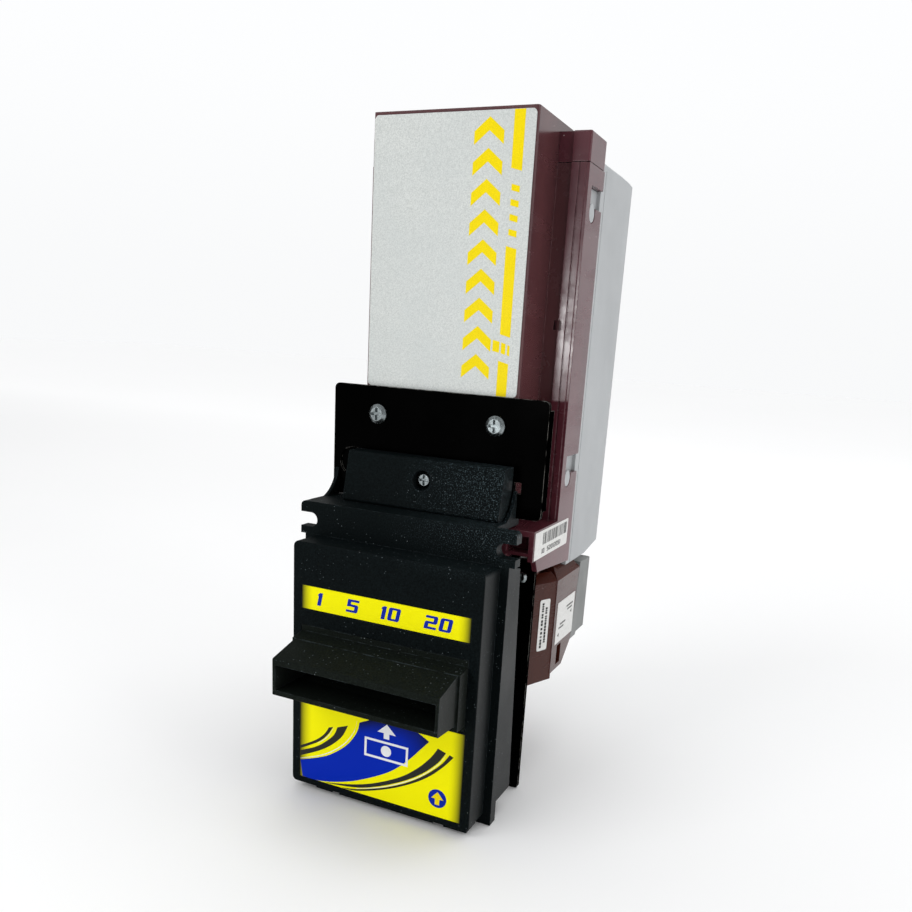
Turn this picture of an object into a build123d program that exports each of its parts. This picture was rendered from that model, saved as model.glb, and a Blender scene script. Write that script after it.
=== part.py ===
from build123d import *
import math
import os

os.makedirs("parts", exist_ok=True)

# Bill validator with an up-stacking note magazine, in millimetres.
# Origin: midway between the two ear slots, on the front plane of the mounting flange.
# +X is the viewer's right, +Y goes back into the machine, +Z is up.

# ---------------------------------------------------------------- driving dimensions
NOTE_WIDTH = 66.3
GAP = 0.3                      # clearance between faces of pieces that move apart
RUNNING = 0.05                 # radial clearance of a running fit

# bezel
EAR_X = 52.2
FLANGE_TOP = 8.2
FLANGE_DEPTH = 5.5
SLOT_HALF = 3.2
SLOT_END_X = 43.6
FACE_X = 45.8
FACE_Y = -14.9
FACE_TOP = -6.6
FACE_BOTTOM = -122.5
SKIRT_X = 49.8
SKIRT_BOTTOM = -125.5
SKIRT_REAR_TOP = 13.1
SKIRT_REAR_BOTTOM = 20.9
SKIRT_SIDE_BOTTOM = -116.0
BEZEL_WALL = 2.6
LEDGE_REAR = 25.9
LEDGE_THICK = 2.8
LEDGE_LEFT, LEDGE_RIGHT = -50.6, 41.0
GUSSET_THICK = 1.6
GUSSET_FOOT = 15.0
GUSSET_MIDDLE = (21.6, 13.0)
GUSSET_PEAK = (24.9, 20.6)

# snout
SNOUT_FRONT = -37.8
SNOUT_X = 39.6
COLLAR_X = 40.8
COLLAR_FRONT = -22.0
MOUTH_X = 38.15
MOUTH_TOP = -55.7
MOUTH_BOTTOM = -67.1
SNOUT_TOP_FRONT = -52.9
SNOUT_TOP_REAR = -47.3
SNOUT_BOTTOM = -69.6
COLLAR_BOTTOM = -73.4
RECESS_X = 41.2
RECESS_TOP = -43.9
RECESS_BOTTOM = -76.5

# labels on the face
STRIP_X, STRIP_TOP, STRIP_BOTTOM = 40.9, -26.0, -36.5
PANEL_X, PANEL_TOP, PANEL_BOTTOM = 41.4, -77.4, -119.2
LABEL_RECESS = 0.5
LABEL_THICK = 0.3
SIDE_LABEL_THICK = 0.2

# clamp block and upper plate
BLOCK_X = 38.4
BLOCK_FRONT_BOTTOM, BLOCK_FRONT_TOP = 12.0, 17.0
BLOCK_TOP = 30.7
CLAMP_Z = 21.4
PLATE_Y = 26.1
PLATE_THICK = 1.8
PLATE_X = 52.4
PLATE_BOTTOM, PLATE_TOP = 8.6, 59.4
PLATE_RETURN = 6.0
PLATE_SCREW_X, PLATE_SCREW_Z = 28.9, 47.1
RECESS_PLACE = (-42.0, 24.2)
RECESS_R = 6.8
RECESS_DEPTH = 1.2
LOWER_PLATE_Y = 37.2
LOWER_PLATE_X = 48.2
LOWER_PLATE_TOP, LOWER_PLATE_BOTTOM = -11.7, -125.5
LOWER_PLATE_THICK = 2.0

# magazine
MAG_X = 37.06
MAG_FRONT = 28.3
MAG_REAR = 61.0
MAG_TOP = 171.0
MAG_BOTTOM = 8.6
MAG_WALL = 2.0
MAG_STEP_Z = 57.0
MAG_STEP_Y = 33.4
MAG_PAD_REAR = 70.2
MAG_FLANGE_X = 45.7
MAG_FLANGE_FRONT, MAG_FLANGE_REAR = 53.8, 56.1
LATCH_NOTCH = (41.0, 42.6)
LATCH_HALF = 2.0
CAP_BOTTOM, CAP_TOP = 155.3, 167.0
MAG_LABEL_X = 36.3
MAG_LABEL_BOTTOM, MAG_LABEL_TOP = 59.4, 169.7
WEB_Y = 53.0
SPRING_WIRE = 0.7
SPRING_R = 6.4
SPRING_TURNS = 4
SPRING_Z = 90.0

# frame
FRAME_X = 51.5
FRAME_WALL = 2.4
RAIL_Y = 52.2
RAIL_LIP_X = 43.7
RAIL_LIP_THICK = 1.4
LIP_STEP = 0.45
LIP_GROOVE = (47.0, 47.6)
FRAME_REAR = 74.4
FRAME_TOP = 155.0
SHOULDER_TOP = 4.5
SHOULDER_BOTTOM = -8.9
SHOULDER_FRONT = 22.6
POCKET_X = 39.0
POCKET_REAR = 33.0
SHELF_Z = -6.0
SKIRT_WALL_FRONT, SKIRT_WALL_REAR = -14.6, -18.4
DECK_FRONT, DECK_REAR = 61.3, 64.25
WINDOW_X = 31.0
WINDOW_BOTTOM, WINDOW_TOP = 14.0, 150.0
BAYONET_Y = 61.6
BAYONET_ZS = (23.2, 136.7)
BAYONET_R = 4.0
BAYONET_LIFT = 6.5
TONGUE_DOWN, TONGUE_UP = 7.0, 10.5
LATCH_Z = 90.2

# rear cover
COVER_X = 50.4
COVER_WALL = 2.2
COVER_FRONT = 74.55
COVER_REAR = 127.8
COVER_TOP = 159.6
COVER_TOP_Y = 109.3
COVER_REAR_TOP = 157.4
COVER_BOTTOM = -20.9
COVER_SLOPE_Y = 104.3
COVER_REAR_BOTTOM = -17.0

# lower housing and path door
HOUSING_X = 51.6
HOUSING_WALL = 2.2
HOUSING_FRONT = 61.1
HOUSING_TOP = -26.0
HOUSING_BOTTOM = -73.5
HOUSING_ROOF = -19.4
HOUSING_BACK_TOP = 95.5
HOUSING_BACK_LOW = 89.7
HOUSING_BACK_LOW_Z = -64.1
HOUSING_KEEL_Y = 78.3
CHEEK_X = 36.5
CHEEK_THICK = 2.2
NECK_LEFT, NECK_RIGHT = -48.2, 42.1
NECK_BOTTOM, NECK_TOP = -76.1, -22.0
NECK_CHAMFER = 4.0
NECK_FLOOR = -79.5
FRONT_LABEL_Y, FRONT_LABEL_Z = 54.4, -46.8
FRONT_LABEL_WIDE, FRONT_LABEL_TALL = 7.0, 25.7
DOOR_REAR = 114.8
DOOR_WALL = 2.0
DOOR_PIVOT = (92.2, -66.2)

# note path: level run, quarter turn, vertical channel
PATH_Z = -61.4
PATH_Y = 65.75
PATH_R = 34.0
CHANNEL_HALF = 1.5
GUIDE_THICK = 2.5
GUIDE_X = 36.2
ARC_Y = PATH_Y - PATH_R
ARC_Z = PATH_Z + PATH_R
GUIDE_START = 7.0
GUIDE_TOP = -12.5
ROLLER_X = 27.0
ROLLER_WIDE = 7.0

# transport drive
MODULE = 0.8
FEED_TEETH, IDLER_TEETH, DRIVE_TEETH, MOTOR_TEETH = 24, 30, 27, 12
FEED_ANGLE = 27.0
FEED_R = 8.0
PINCH_R = 5.0
SHAFT_R = 2.0
PINCH_SHAFT_R = 1.5
PULLEY_R = 8.8
BELT_INNER = 9.0
BELT_OUTER = 10.2
BELT_WIDE = 5.6
DRIVE_YZ = (76.1, -31.0)
UPPER_Z = 140.0
GEAR_X0, GEAR_X1 = -43.0, -39.4
MOTOR_OFFSET_Y = 8.0
MOTOR_R = 10.0

# stacker
STACK_MODULE = 1.0
PINION_TEETH = 12
STACK_GEAR_MODULE = 0.8
STACK_GEAR_TEETH, STACK_MOTOR_TEETH = 20, 10
STACK_Y = 79.0
RACK_PITCH_Z = 85.0
RACK_X = 16.0
RACK_WIDE = 4.0
PUSH_TRAVEL = 12.15
PUSHER_FRONT, PUSHER_REAR = 67.5, 69.5
PUSHER_X = 20.5
BASE_FRONT, BASE_REAR = 88.0, 90.5
LEG_X = 41.5
LEG_R = 4.0
BOARD_Y = 112.0
BOARD_THICK = 1.6

# ---------------------------------------------------------------- helpers


def block(x, y, z, mode=Mode.ADD):
    """Box between the limits x, y and z, each a pair of numbers."""
    centre = [(low + high) / 2 for low, high in (x, y, z)]
    with Locations(tuple(centre)):
        Box(x[1] - x[0], y[1] - y[0], z[1] - z[0], mode=mode)


def both_sides(x, y, z, mode=Mode.ADD):
    """The same box on the right and, mirrored, on the left."""
    block(x, y, z, mode)
    block((-x[1], -x[0]), y, z, mode)


def rod(radius, x, y, z, mode=Mode.ADD):
    """Cylinder along X between the limits x, centred at y and z."""
    with Locations(Location(((x[0] + x[1]) / 2, y, z), (0, 90, 0))):
        Cylinder(radius, x[1] - x[0], mode=mode)


def pin_y(radius, x, y, z, mode=Mode.ADD):
    """Cylinder along Y between the limits y, centred at x and z."""
    with Locations(Location((x, (y[0] + y[1]) / 2, z), (90, 0, 0))):
        Cylinder(radius, y[1] - y[0], mode=mode)


def side_profile(points):
    """Closed outline in the YZ plane through the (y, z) points."""
    with BuildSketch(Plane.YZ) as outline:
        with BuildLine():
            Polyline(*points, close=True)
        make_face()
    return outline.sketch


def slab_x(points, x, mode=Mode.ADD):
    """Side outline extruded across the width between the limits x."""
    shape = side_profile(points)
    extrude(to_extrude=Pos(x[0], 0, 0) * shape, amount=x[1] - x[0], dir=(1, 0, 0), mode=mode)


def involute(angle):
    return math.tan(angle) - angle


def gear_sketch(teeth, module, turn, bore, backlash=0.16, addendum=0.85):
    """Involute spur gear face in its own plane, one tooth centred at the angle turn."""
    pressure = math.radians(20)
    pitch_r = teeth * module / 2
    base_r = pitch_r * math.cos(pressure)
    tip_r = pitch_r + addendum * module
    root_r = pitch_r - 1.2 * module
    half_pitch = math.pi / (2 * teeth) - backlash / (2 * pitch_r)
    start_r = max(base_r, root_r)
    flank = []
    steps = 4
    for i in range(steps + 1):
        radius = start_r + (tip_r - start_r) * i / steps
        lean = involute(math.acos(min(1.0, base_r / radius)))
        flank.append((radius, half_pitch + involute(pressure) - lean))
    if root_r < base_r:
        flank.insert(0, (root_r, flank[0][1]))
    points = []
    for tooth in range(teeth):
        middle = turn + 2 * math.pi * tooth / teeth
        for radius, half in flank:
            points.append((radius * math.cos(middle - half), radius * math.sin(middle - half)))
        for radius, half in reversed(flank):
            points.append((radius * math.cos(middle + half), radius * math.sin(middle + half)))
    with BuildSketch() as face:
        with BuildLine():
            Polyline(*points, close=True)
        make_face()
        if bore:
            Circle(bore, mode=Mode.SUBTRACT)
    return face.sketch


def gear(teeth, module, turn, bore, x, y, z):
    """Gear about the X axis between the limits x, centred at y and z."""
    plane = Plane(origin=(x[0], y, z), x_dir=(0, 1, 0), z_dir=(1, 0, 0))
    extrude(to_extrude=plane * gear_sketch(teeth, module, turn, bore), amount=x[1] - x[0], dir=(1, 0, 0))


def mesh_turn(turn_a, teeth_a, teeth_b, direction):
    """Tooth angle of gear B that meshes with gear A when B lies in the given direction from A."""
    offset = turn_a - direction
    return direction + math.pi - math.pi / teeth_b - offset * teeth_a / teeth_b


def meet(first, first_r, second, second_r, side):
    """Point at first_r from first and second_r from second, on the chosen side (+1 or -1)."""
    dy, dz = second[0] - first[0], second[1] - first[1]
    far = math.hypot(dy, dz)
    along = (first_r ** 2 - second_r ** 2 + far ** 2) / (2 * far)
    up = side * math.sqrt(first_r ** 2 - along ** 2)
    return (first[0] + (along * dy - up * dz) / far, first[1] + (along * dz + up * dy) / far)


def turn_point(radius, degrees):
    """Point at the radius from the centre of the path's turn, measured from straight down."""
    angle = math.radians(degrees)
    return (ARC_Y + radius * math.sin(angle), ARC_Z - radius * math.cos(angle))


def direction(start, end):
    return math.atan2(end[1] - start[1], end[0] - start[0])


def pan_screw(x, z, seat, head_r, head_h, shank_r, length):
    """Cross-recessed pan-head screw along +Y with its head's underside at y = seat."""
    pin_y(shank_r, x, (seat, seat + length), z)
    rim = head_h * 0.5
    pin_y(head_r, x, (seat - rim, seat), z)
    with Locations(Location((x, seat - (head_h + rim) / 2, z), (90, 0, 0))):
        Cone(head_r, head_r * 0.68, head_h - rim)
    arm = head_r * 0.28
    deep = (seat - head_h - 0.01, seat - head_h + head_h * 0.55)
    block((x - head_r * 0.62, x + head_r * 0.62), deep, (z - arm / 2, z + arm / 2), Mode.SUBTRACT)
    block((x - arm / 2, x + arm / 2), deep, (z - head_r * 0.62, z + head_r * 0.62), Mode.SUBTRACT)


def save(builder, name):
    builder.part.label = name
    export_step(builder.part, f"parts/{name}.step")


# ---------------------------------------------------------------- bezel

skirt_outline = [
    (0, FACE_TOP), (SKIRT_REAR_TOP, FACE_TOP - 3), (SKIRT_REAR_BOTTOM, SKIRT_SIDE_BOTTOM),
    (FLANGE_DEPTH, SKIRT_SIDE_BOTTOM), (FLANGE_DEPTH, SKIRT_BOTTOM), (0, SKIRT_BOTTOM),
]
post_places = [(x, z) for x in (-32, 32) for z in (-30, -106)]

with BuildPart() as bezel_housing:
    # face box and the second step behind it
    block((-FACE_X, FACE_X), (FACE_Y, 0.5), (FACE_BOTTOM, FACE_TOP))
    fillet(bezel_housing.edges().filter_by(Axis.Y), 2.5)
    fillet(bezel_housing.faces().sort_by(Axis.Y)[0].edges(), 0.9)
    slab_x(skirt_outline, (-SKIRT_X, SKIRT_X))
    # hollow, open at the rear
    inner_x = FACE_X - BEZEL_WALL
    block((-inner_x, inner_x), (FACE_Y + 3.0, 40), (SKIRT_SIDE_BOTTOM + 1.5, FACE_TOP - BEZEL_WALL),
          Mode.SUBTRACT)
    # flange with the two ears
    block((-EAR_X, EAR_X), (0, FLANGE_DEPTH), (FACE_TOP, FLANGE_TOP))
    block((-SKIRT_X, SKIRT_X), (0, FLANGE_DEPTH), (FACE_TOP - 2, FACE_TOP + 0.5))
    ear_corners = bezel_housing.edges().filter_by(Axis.Y).group_by(Axis.Z)[-1]
    fillet(ear_corners, 2.2)
    both_sides((SLOT_END_X + SLOT_HALF, EAR_X + 1), (-1, FLANGE_DEPTH + 1), (-SLOT_HALF, SLOT_HALF),
               Mode.SUBTRACT)
    for side in (-1, 1):
        pin_y(SLOT_HALF, side * (SLOT_END_X + SLOT_HALF), (-1, FLANGE_DEPTH + 1), 0, Mode.SUBTRACT)
    # ledge that runs back under the upper plate, with a gusset on each side
    block((LEDGE_LEFT, LEDGE_RIGHT), (FLANGE_DEPTH - 0.5, LEDGE_REAR + 4),
          (FLANGE_TOP - LEDGE_THICK, FLANGE_TOP))
    for low in (LEDGE_LEFT, LEDGE_RIGHT - GUSSET_THICK):
        with BuildSketch(Plane.YZ.offset(low)):
            with BuildLine():
                Line((LEDGE_REAR, FLANGE_TOP - 0.5), (GUSSET_FOOT, FLANGE_TOP - 0.5))
                Line((GUSSET_FOOT, FLANGE_TOP - 0.5), (GUSSET_FOOT, FLANGE_TOP))
                ThreePointArc((GUSSET_FOOT, FLANGE_TOP), GUSSET_MIDDLE, GUSSET_PEAK)
                Line(GUSSET_PEAK, (LEDGE_REAR, GUSSET_PEAK[1]))
                Line((LEDGE_REAR, GUSSET_PEAK[1]), (LEDGE_REAR, FLANGE_TOP - 0.5))
            make_face()
        extrude(amount=GUSSET_THICK)
    # windows and recesses in the face
    block((-39, 39), (FACE_Y - 1, FACE_Y + 4), (-72.5, -49.5), Mode.SUBTRACT)
    block((-RECESS_X, RECESS_X), (FACE_Y - 1, FACE_Y + 1.6), (RECESS_BOTTOM, RECESS_TOP), Mode.SUBTRACT)
    for half, low, high in ((STRIP_X, STRIP_BOTTOM, STRIP_TOP), (PANEL_X, PANEL_BOTTOM, PANEL_TOP)):
        block((-half - 0.3, half + 0.3), (FACE_Y - 1, FACE_Y + LABEL_RECESS), (low - 0.3, high + 0.3),
              Mode.SUBTRACT)
    # posts back to the lower plate, each with a screw pilot
    for x, z in post_places:
        pin_y(3.6, x, (FACE_Y + 2, LOWER_PLATE_Y), z)
        pin_y(1.2, x, (LOWER_PLATE_Y - 12, LOWER_PLATE_Y + 1), z, Mode.SUBTRACT)
    # feet under the face's lower edge
    for low, high in ((-33.6, -24.9), (-21.0, 27.7), (32.9, 44.0)):
        block((low, high), (FACE_Y + 2.2, -3), (FACE_BOTTOM - 1.8, FACE_BOTTOM + 0.5))
save(bezel_housing, "bezel_housing")

snout_outline = [
    (SNOUT_FRONT, SNOUT_TOP_FRONT), (COLLAR_FRONT, -48.7), (FACE_Y + 0.3, SNOUT_TOP_REAR),
    (FACE_Y + 0.3, SNOUT_BOTTOM - 1.6), (SNOUT_FRONT, SNOUT_BOTTOM),
]
collar_outline = [
    (COLLAR_FRONT, -48.4), (FACE_Y + 0.3, SNOUT_TOP_REAR + 0.4), (FACE_Y + 0.3, COLLAR_BOTTOM),
    (COLLAR_FRONT, COLLAR_BOTTOM),
]
with BuildPart() as entry_snout:
    slab_x(snout_outline, (-SNOUT_X, SNOUT_X))
    fillet(entry_snout.edges().filter_by(Axis.X), 0.8)
    slab_x(collar_outline, (-COLLAR_X, COLLAR_X))
    # base plate in the face's recess and a throat through the face
    block((-RECESS_X + 0.25, RECESS_X - 0.25), (FACE_Y + 0.2, FACE_Y + 1.6),
          (RECESS_BOTTOM + 0.25, RECESS_TOP - 0.25))
    block((-38.7, 38.7), (FACE_Y + 1, GUIDE_START - 1), (-66.4, -56.4))
    # mouth, then a funnel that narrows to the note channel
    block((-MOUTH_X, MOUTH_X), (SNOUT_FRONT - 1, -22), (MOUTH_BOTTOM, MOUTH_TOP), Mode.SUBTRACT)
    with BuildSketch(Plane.XZ.offset(22.01)):
        with Locations((0, (MOUTH_TOP + MOUTH_BOTTOM) / 2)):
            Rectangle(2 * MOUTH_X, MOUTH_TOP - MOUTH_BOTTOM)
    with BuildSketch(Plane.XZ.offset(6)):
        with Locations((0, PATH_Z)):
            Rectangle(NOTE_WIDTH + 3, 4 * CHANNEL_HALF)
    loft(mode=Mode.SUBTRACT)
    block((-NOTE_WIDTH / 2 - 1.5, NOTE_WIDTH / 2 + 1.5), (-6.2, GUIDE_START),
          (PATH_Z - 2 * CHANNEL_HALF, PATH_Z + 2 * CHANNEL_HALF), Mode.SUBTRACT)
save(entry_snout, "entry_snout")

with BuildPart() as denomination_label:
    block((-STRIP_X, STRIP_X), (FACE_Y + LABEL_RECESS - LABEL_THICK, FACE_Y + LABEL_RECESS),
          (STRIP_BOTTOM, STRIP_TOP))
save(denomination_label, "denomination_label")

with BuildPart() as instruction_label:
    block((-PANEL_X, PANEL_X), (FACE_Y + LABEL_RECESS - LABEL_THICK, FACE_Y + LABEL_RECESS),
          (PANEL_BOTTOM, PANEL_TOP))
save(instruction_label, "instruction_label")

block_outline = [
    (BLOCK_FRONT_BOTTOM, FLANGE_TOP), (BLOCK_FRONT_TOP, BLOCK_TOP), (PLATE_Y, BLOCK_TOP),
    (PLATE_Y, FLANGE_TOP),
]
with BuildPart() as clamp_block:
    slab_x(block_outline, (-BLOCK_X, BLOCK_X))
    fillet(clamp_block.edges().filter_by(Axis.X).sort_by(Axis.Y)[:2], 1.2)
    pin_y(4.4, 0, (0, 19.5), CLAMP_Z, Mode.SUBTRACT)
    pin_y(2.2, 0, (0, 30), CLAMP_Z, Mode.SUBTRACT)
save(clamp_block, "clamp_block")

with BuildPart() as clamp_screw:
    pan_screw(0, CLAMP_Z, 19.5, 3.6, 2.4, 2.0, 11.0)
save(clamp_screw, "clamp_screw")

with BuildPart() as clamp_nut:
    with BuildSketch(Plane.XZ.offset(-(PLATE_Y + PLATE_THICK))):
        with Locations((0, CLAMP_Z)):
            RegularPolygon(3.9, 6)
    extrude(amount=-2.4)
    pin_y(2.0, 0, (PLATE_Y, MAG_STEP_Y), CLAMP_Z, Mode.SUBTRACT)
save(clamp_nut, "clamp_nut")

plate_back = PLATE_Y + PLATE_THICK
with BuildPart() as upper_mount_plate:
    block((-PLATE_X, PLATE_X), (PLATE_Y, plate_back), (PLATE_BOTTOM, PLATE_TOP))
    fillet(upper_mount_plate.edges().filter_by(Axis.Y), 2.5)
    both_sides((PLATE_X - PLATE_THICK, PLATE_X), (PLATE_Y, PLATE_Y + PLATE_RETURN),
               (PLATE_BOTTOM + 4, PLATE_TOP - 4))
    for x, z, radius in ((-PLATE_SCREW_X, PLATE_SCREW_Z, 2.1), (PLATE_SCREW_X, PLATE_SCREW_Z, 2.1),
                         (0, CLAMP_Z, 2.2)):
        pin_y(radius, x, (PLATE_Y - 1, plate_back + 1), z, Mode.SUBTRACT)
    # round recess beside the clamp block and the small slot opposite
    pin_y(RECESS_R, RECESS_PLACE[0], (PLATE_Y - 1, PLATE_Y + RECESS_DEPTH), RECESS_PLACE[1], Mode.SUBTRACT)
    block((39.2, 42.4), (PLATE_Y - 1, plate_back + 1), (19.5, 24.2), Mode.SUBTRACT)
save(upper_mount_plate, "upper_mount_plate")

with BuildPart() as upper_plate_screws:
    for x in (-PLATE_SCREW_X, PLATE_SCREW_X):
        pan_screw(x, PLATE_SCREW_Z, PLATE_Y, 4.4, 2.4, 2.0, 6.0)
save(upper_plate_screws, "upper_plate_screws")

lower_plate_back = LOWER_PLATE_Y + LOWER_PLATE_THICK
housing_screw_places = [(-41.8, -20), (41.8, -20), (-20, -83), (20, -83)]
with BuildPart() as lower_back_plate:
    block((-LOWER_PLATE_X, LOWER_PLATE_X), (LOWER_PLATE_Y, lower_plate_back),
          (LOWER_PLATE_BOTTOM, LOWER_PLATE_TOP))
    fillet(lower_back_plate.edges().filter_by(Axis.Y), 1.5)
    block((-GUIDE_X - 1.2, GUIDE_X + 1.2), (LOWER_PLATE_Y - 1, lower_plate_back + 1), (-68, -52),
          Mode.SUBTRACT)
    for x, z in post_places + housing_screw_places:
        pin_y(1.7, x, (LOWER_PLATE_Y - 1, lower_plate_back + 1), z, Mode.SUBTRACT)
save(lower_back_plate, "lower_back_plate")

with BuildPart() as bezel_screws:
    for x, z in post_places:
        pin_y(2.9, x, (lower_plate_back, lower_plate_back + 1.9), z)
        pin_y(1.15, x, (lower_plate_back - 11, lower_plate_back), z)
save(bezel_screws, "bezel_screws")

with BuildPart() as housing_screws:
    for x, z in housing_screw_places:
        pan_screw(x, z, LOWER_PLATE_Y, 2.9, 1.9, 1.15, 10.0)
save(housing_screws, "housing_screws")

# ---------------------------------------------------------------- magazine

with BuildPart() as magazine_box:
    block((-MAG_X, MAG_X), (MAG_FRONT, MAG_REAR), (MAG_BOTTOM, MAG_TOP))
    block((-MAG_X - 1, MAG_X + 1), (MAG_FRONT - 1, MAG_STEP_Y), (MAG_BOTTOM - 1, MAG_STEP_Z),
          Mode.SUBTRACT)
    front_edges = magazine_box.edges().filter_by(Axis.Z).group_by(Axis.Y)[0]
    fillet(front_edges, 1.2)
    both_sides((MAG_X - 0.5, MAG_FLANGE_X), (MAG_FLANGE_FRONT, MAG_FLANGE_REAR), (MAG_BOTTOM, FRAME_TOP))
    block((-MAG_X, MAG_X), (MAG_REAR - MAG_WALL, MAG_PAD_REAR), (CAP_TOP + 0.05, MAG_TOP))
    # latch notches in the flange
    latch = (LATCH_Z - LATCH_HALF, LATCH_Z + LATCH_HALF)
    both_sides(LATCH_NOTCH, (MAG_FLANGE_FRONT - 1, MAG_FLANGE_REAR + 1), latch, Mode.SUBTRACT)
    inside = MAG_X - MAG_WALL
    ceiling = MAG_TOP - MAG_WALL
    block((-inside, inside), (MAG_FRONT + MAG_WALL, MAG_REAR + 1), (MAG_STEP_Z + MAG_WALL, ceiling),
          Mode.SUBTRACT)
    block((-inside, inside), (MAG_STEP_Y + MAG_WALL, MAG_REAR + 1), (MAG_BOTTOM + MAG_WALL, ceiling),
          Mode.SUBTRACT)
    pin_y(4.0, 0, (MAG_FRONT + 1, 35.4), SPRING_Z)
save(magazine_box, "magazine_box")

with BuildPart() as magazine_cap:
    block((-FRAME_X, FRAME_X), (RAIL_Y, FRAME_REAR - 0.5), (CAP_BOTTOM, CAP_TOP))
    fillet(magazine_cap.edges().filter_by(Axis.Z), 1.0)
    fillet(magazine_cap.faces().sort_by(Axis.Z)[-1].edges(), 0.6)
    block((-MAG_X, MAG_X), (RAIL_Y - 1, DECK_FRONT + 0.1), (CAP_BOTTOM - 1, CAP_TOP + 1), Mode.SUBTRACT)
    # step that carries on the rail's lip
    both_sides((MAG_X - 1, RAIL_LIP_X), (RAIL_Y - 1, MAG_FLANGE_FRONT), (CAP_BOTTOM - 1, CAP_TOP + 1),
               Mode.SUBTRACT)
save(magazine_cap, "magazine_cap")

with BuildPart() as magazine_label:
    block((-MAG_LABEL_X, MAG_LABEL_X), (MAG_FRONT - 0.25, MAG_FRONT), (MAG_LABEL_BOTTOM, MAG_LABEL_TOP))
    fillet(magazine_label.edges().filter_by(Axis.Y), 1.9)
save(magazine_label, "magazine_label")

with BuildPart() as pressure_plate:
    both_sides((24.6, 34.4), (WEB_Y, DECK_FRONT - 0.5), (14, 166))
    block((-25, 25), (WEB_Y, WEB_Y + 2.0), (14, 166))
    both_sides((27.0, 32.0), (WEB_Y + 2.0, 62), (16, 164), Mode.SUBTRACT)
    pin_y(10.4, 0, (WEB_Y - 3.0, WEB_Y), SPRING_Z)
    pin_y(8.4, 0, (WEB_Y - 4.0, WEB_Y), SPRING_Z, Mode.SUBTRACT)
save(pressure_plate, "pressure_plate")

with BuildPart() as magazine_spring:
    spring_start = MAG_FRONT + MAG_WALL + SPRING_WIRE + 0.1
    spring_length = WEB_Y - 2 * SPRING_WIRE - 0.2 - MAG_FRONT - MAG_WALL
    with BuildLine() as coil:
        Helix(pitch=spring_length / SPRING_TURNS, height=spring_length, radius=SPRING_R,
              center=(0, spring_start, SPRING_Z), direction=(0, 1, 0))
    with BuildSketch(Plane(origin=coil.line @ 0, z_dir=coil.line % 0)):
        Circle(SPRING_WIRE)
    sweep()
save(magazine_spring, "magazine_spring")

# ---------------------------------------------------------------- main frame

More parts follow.
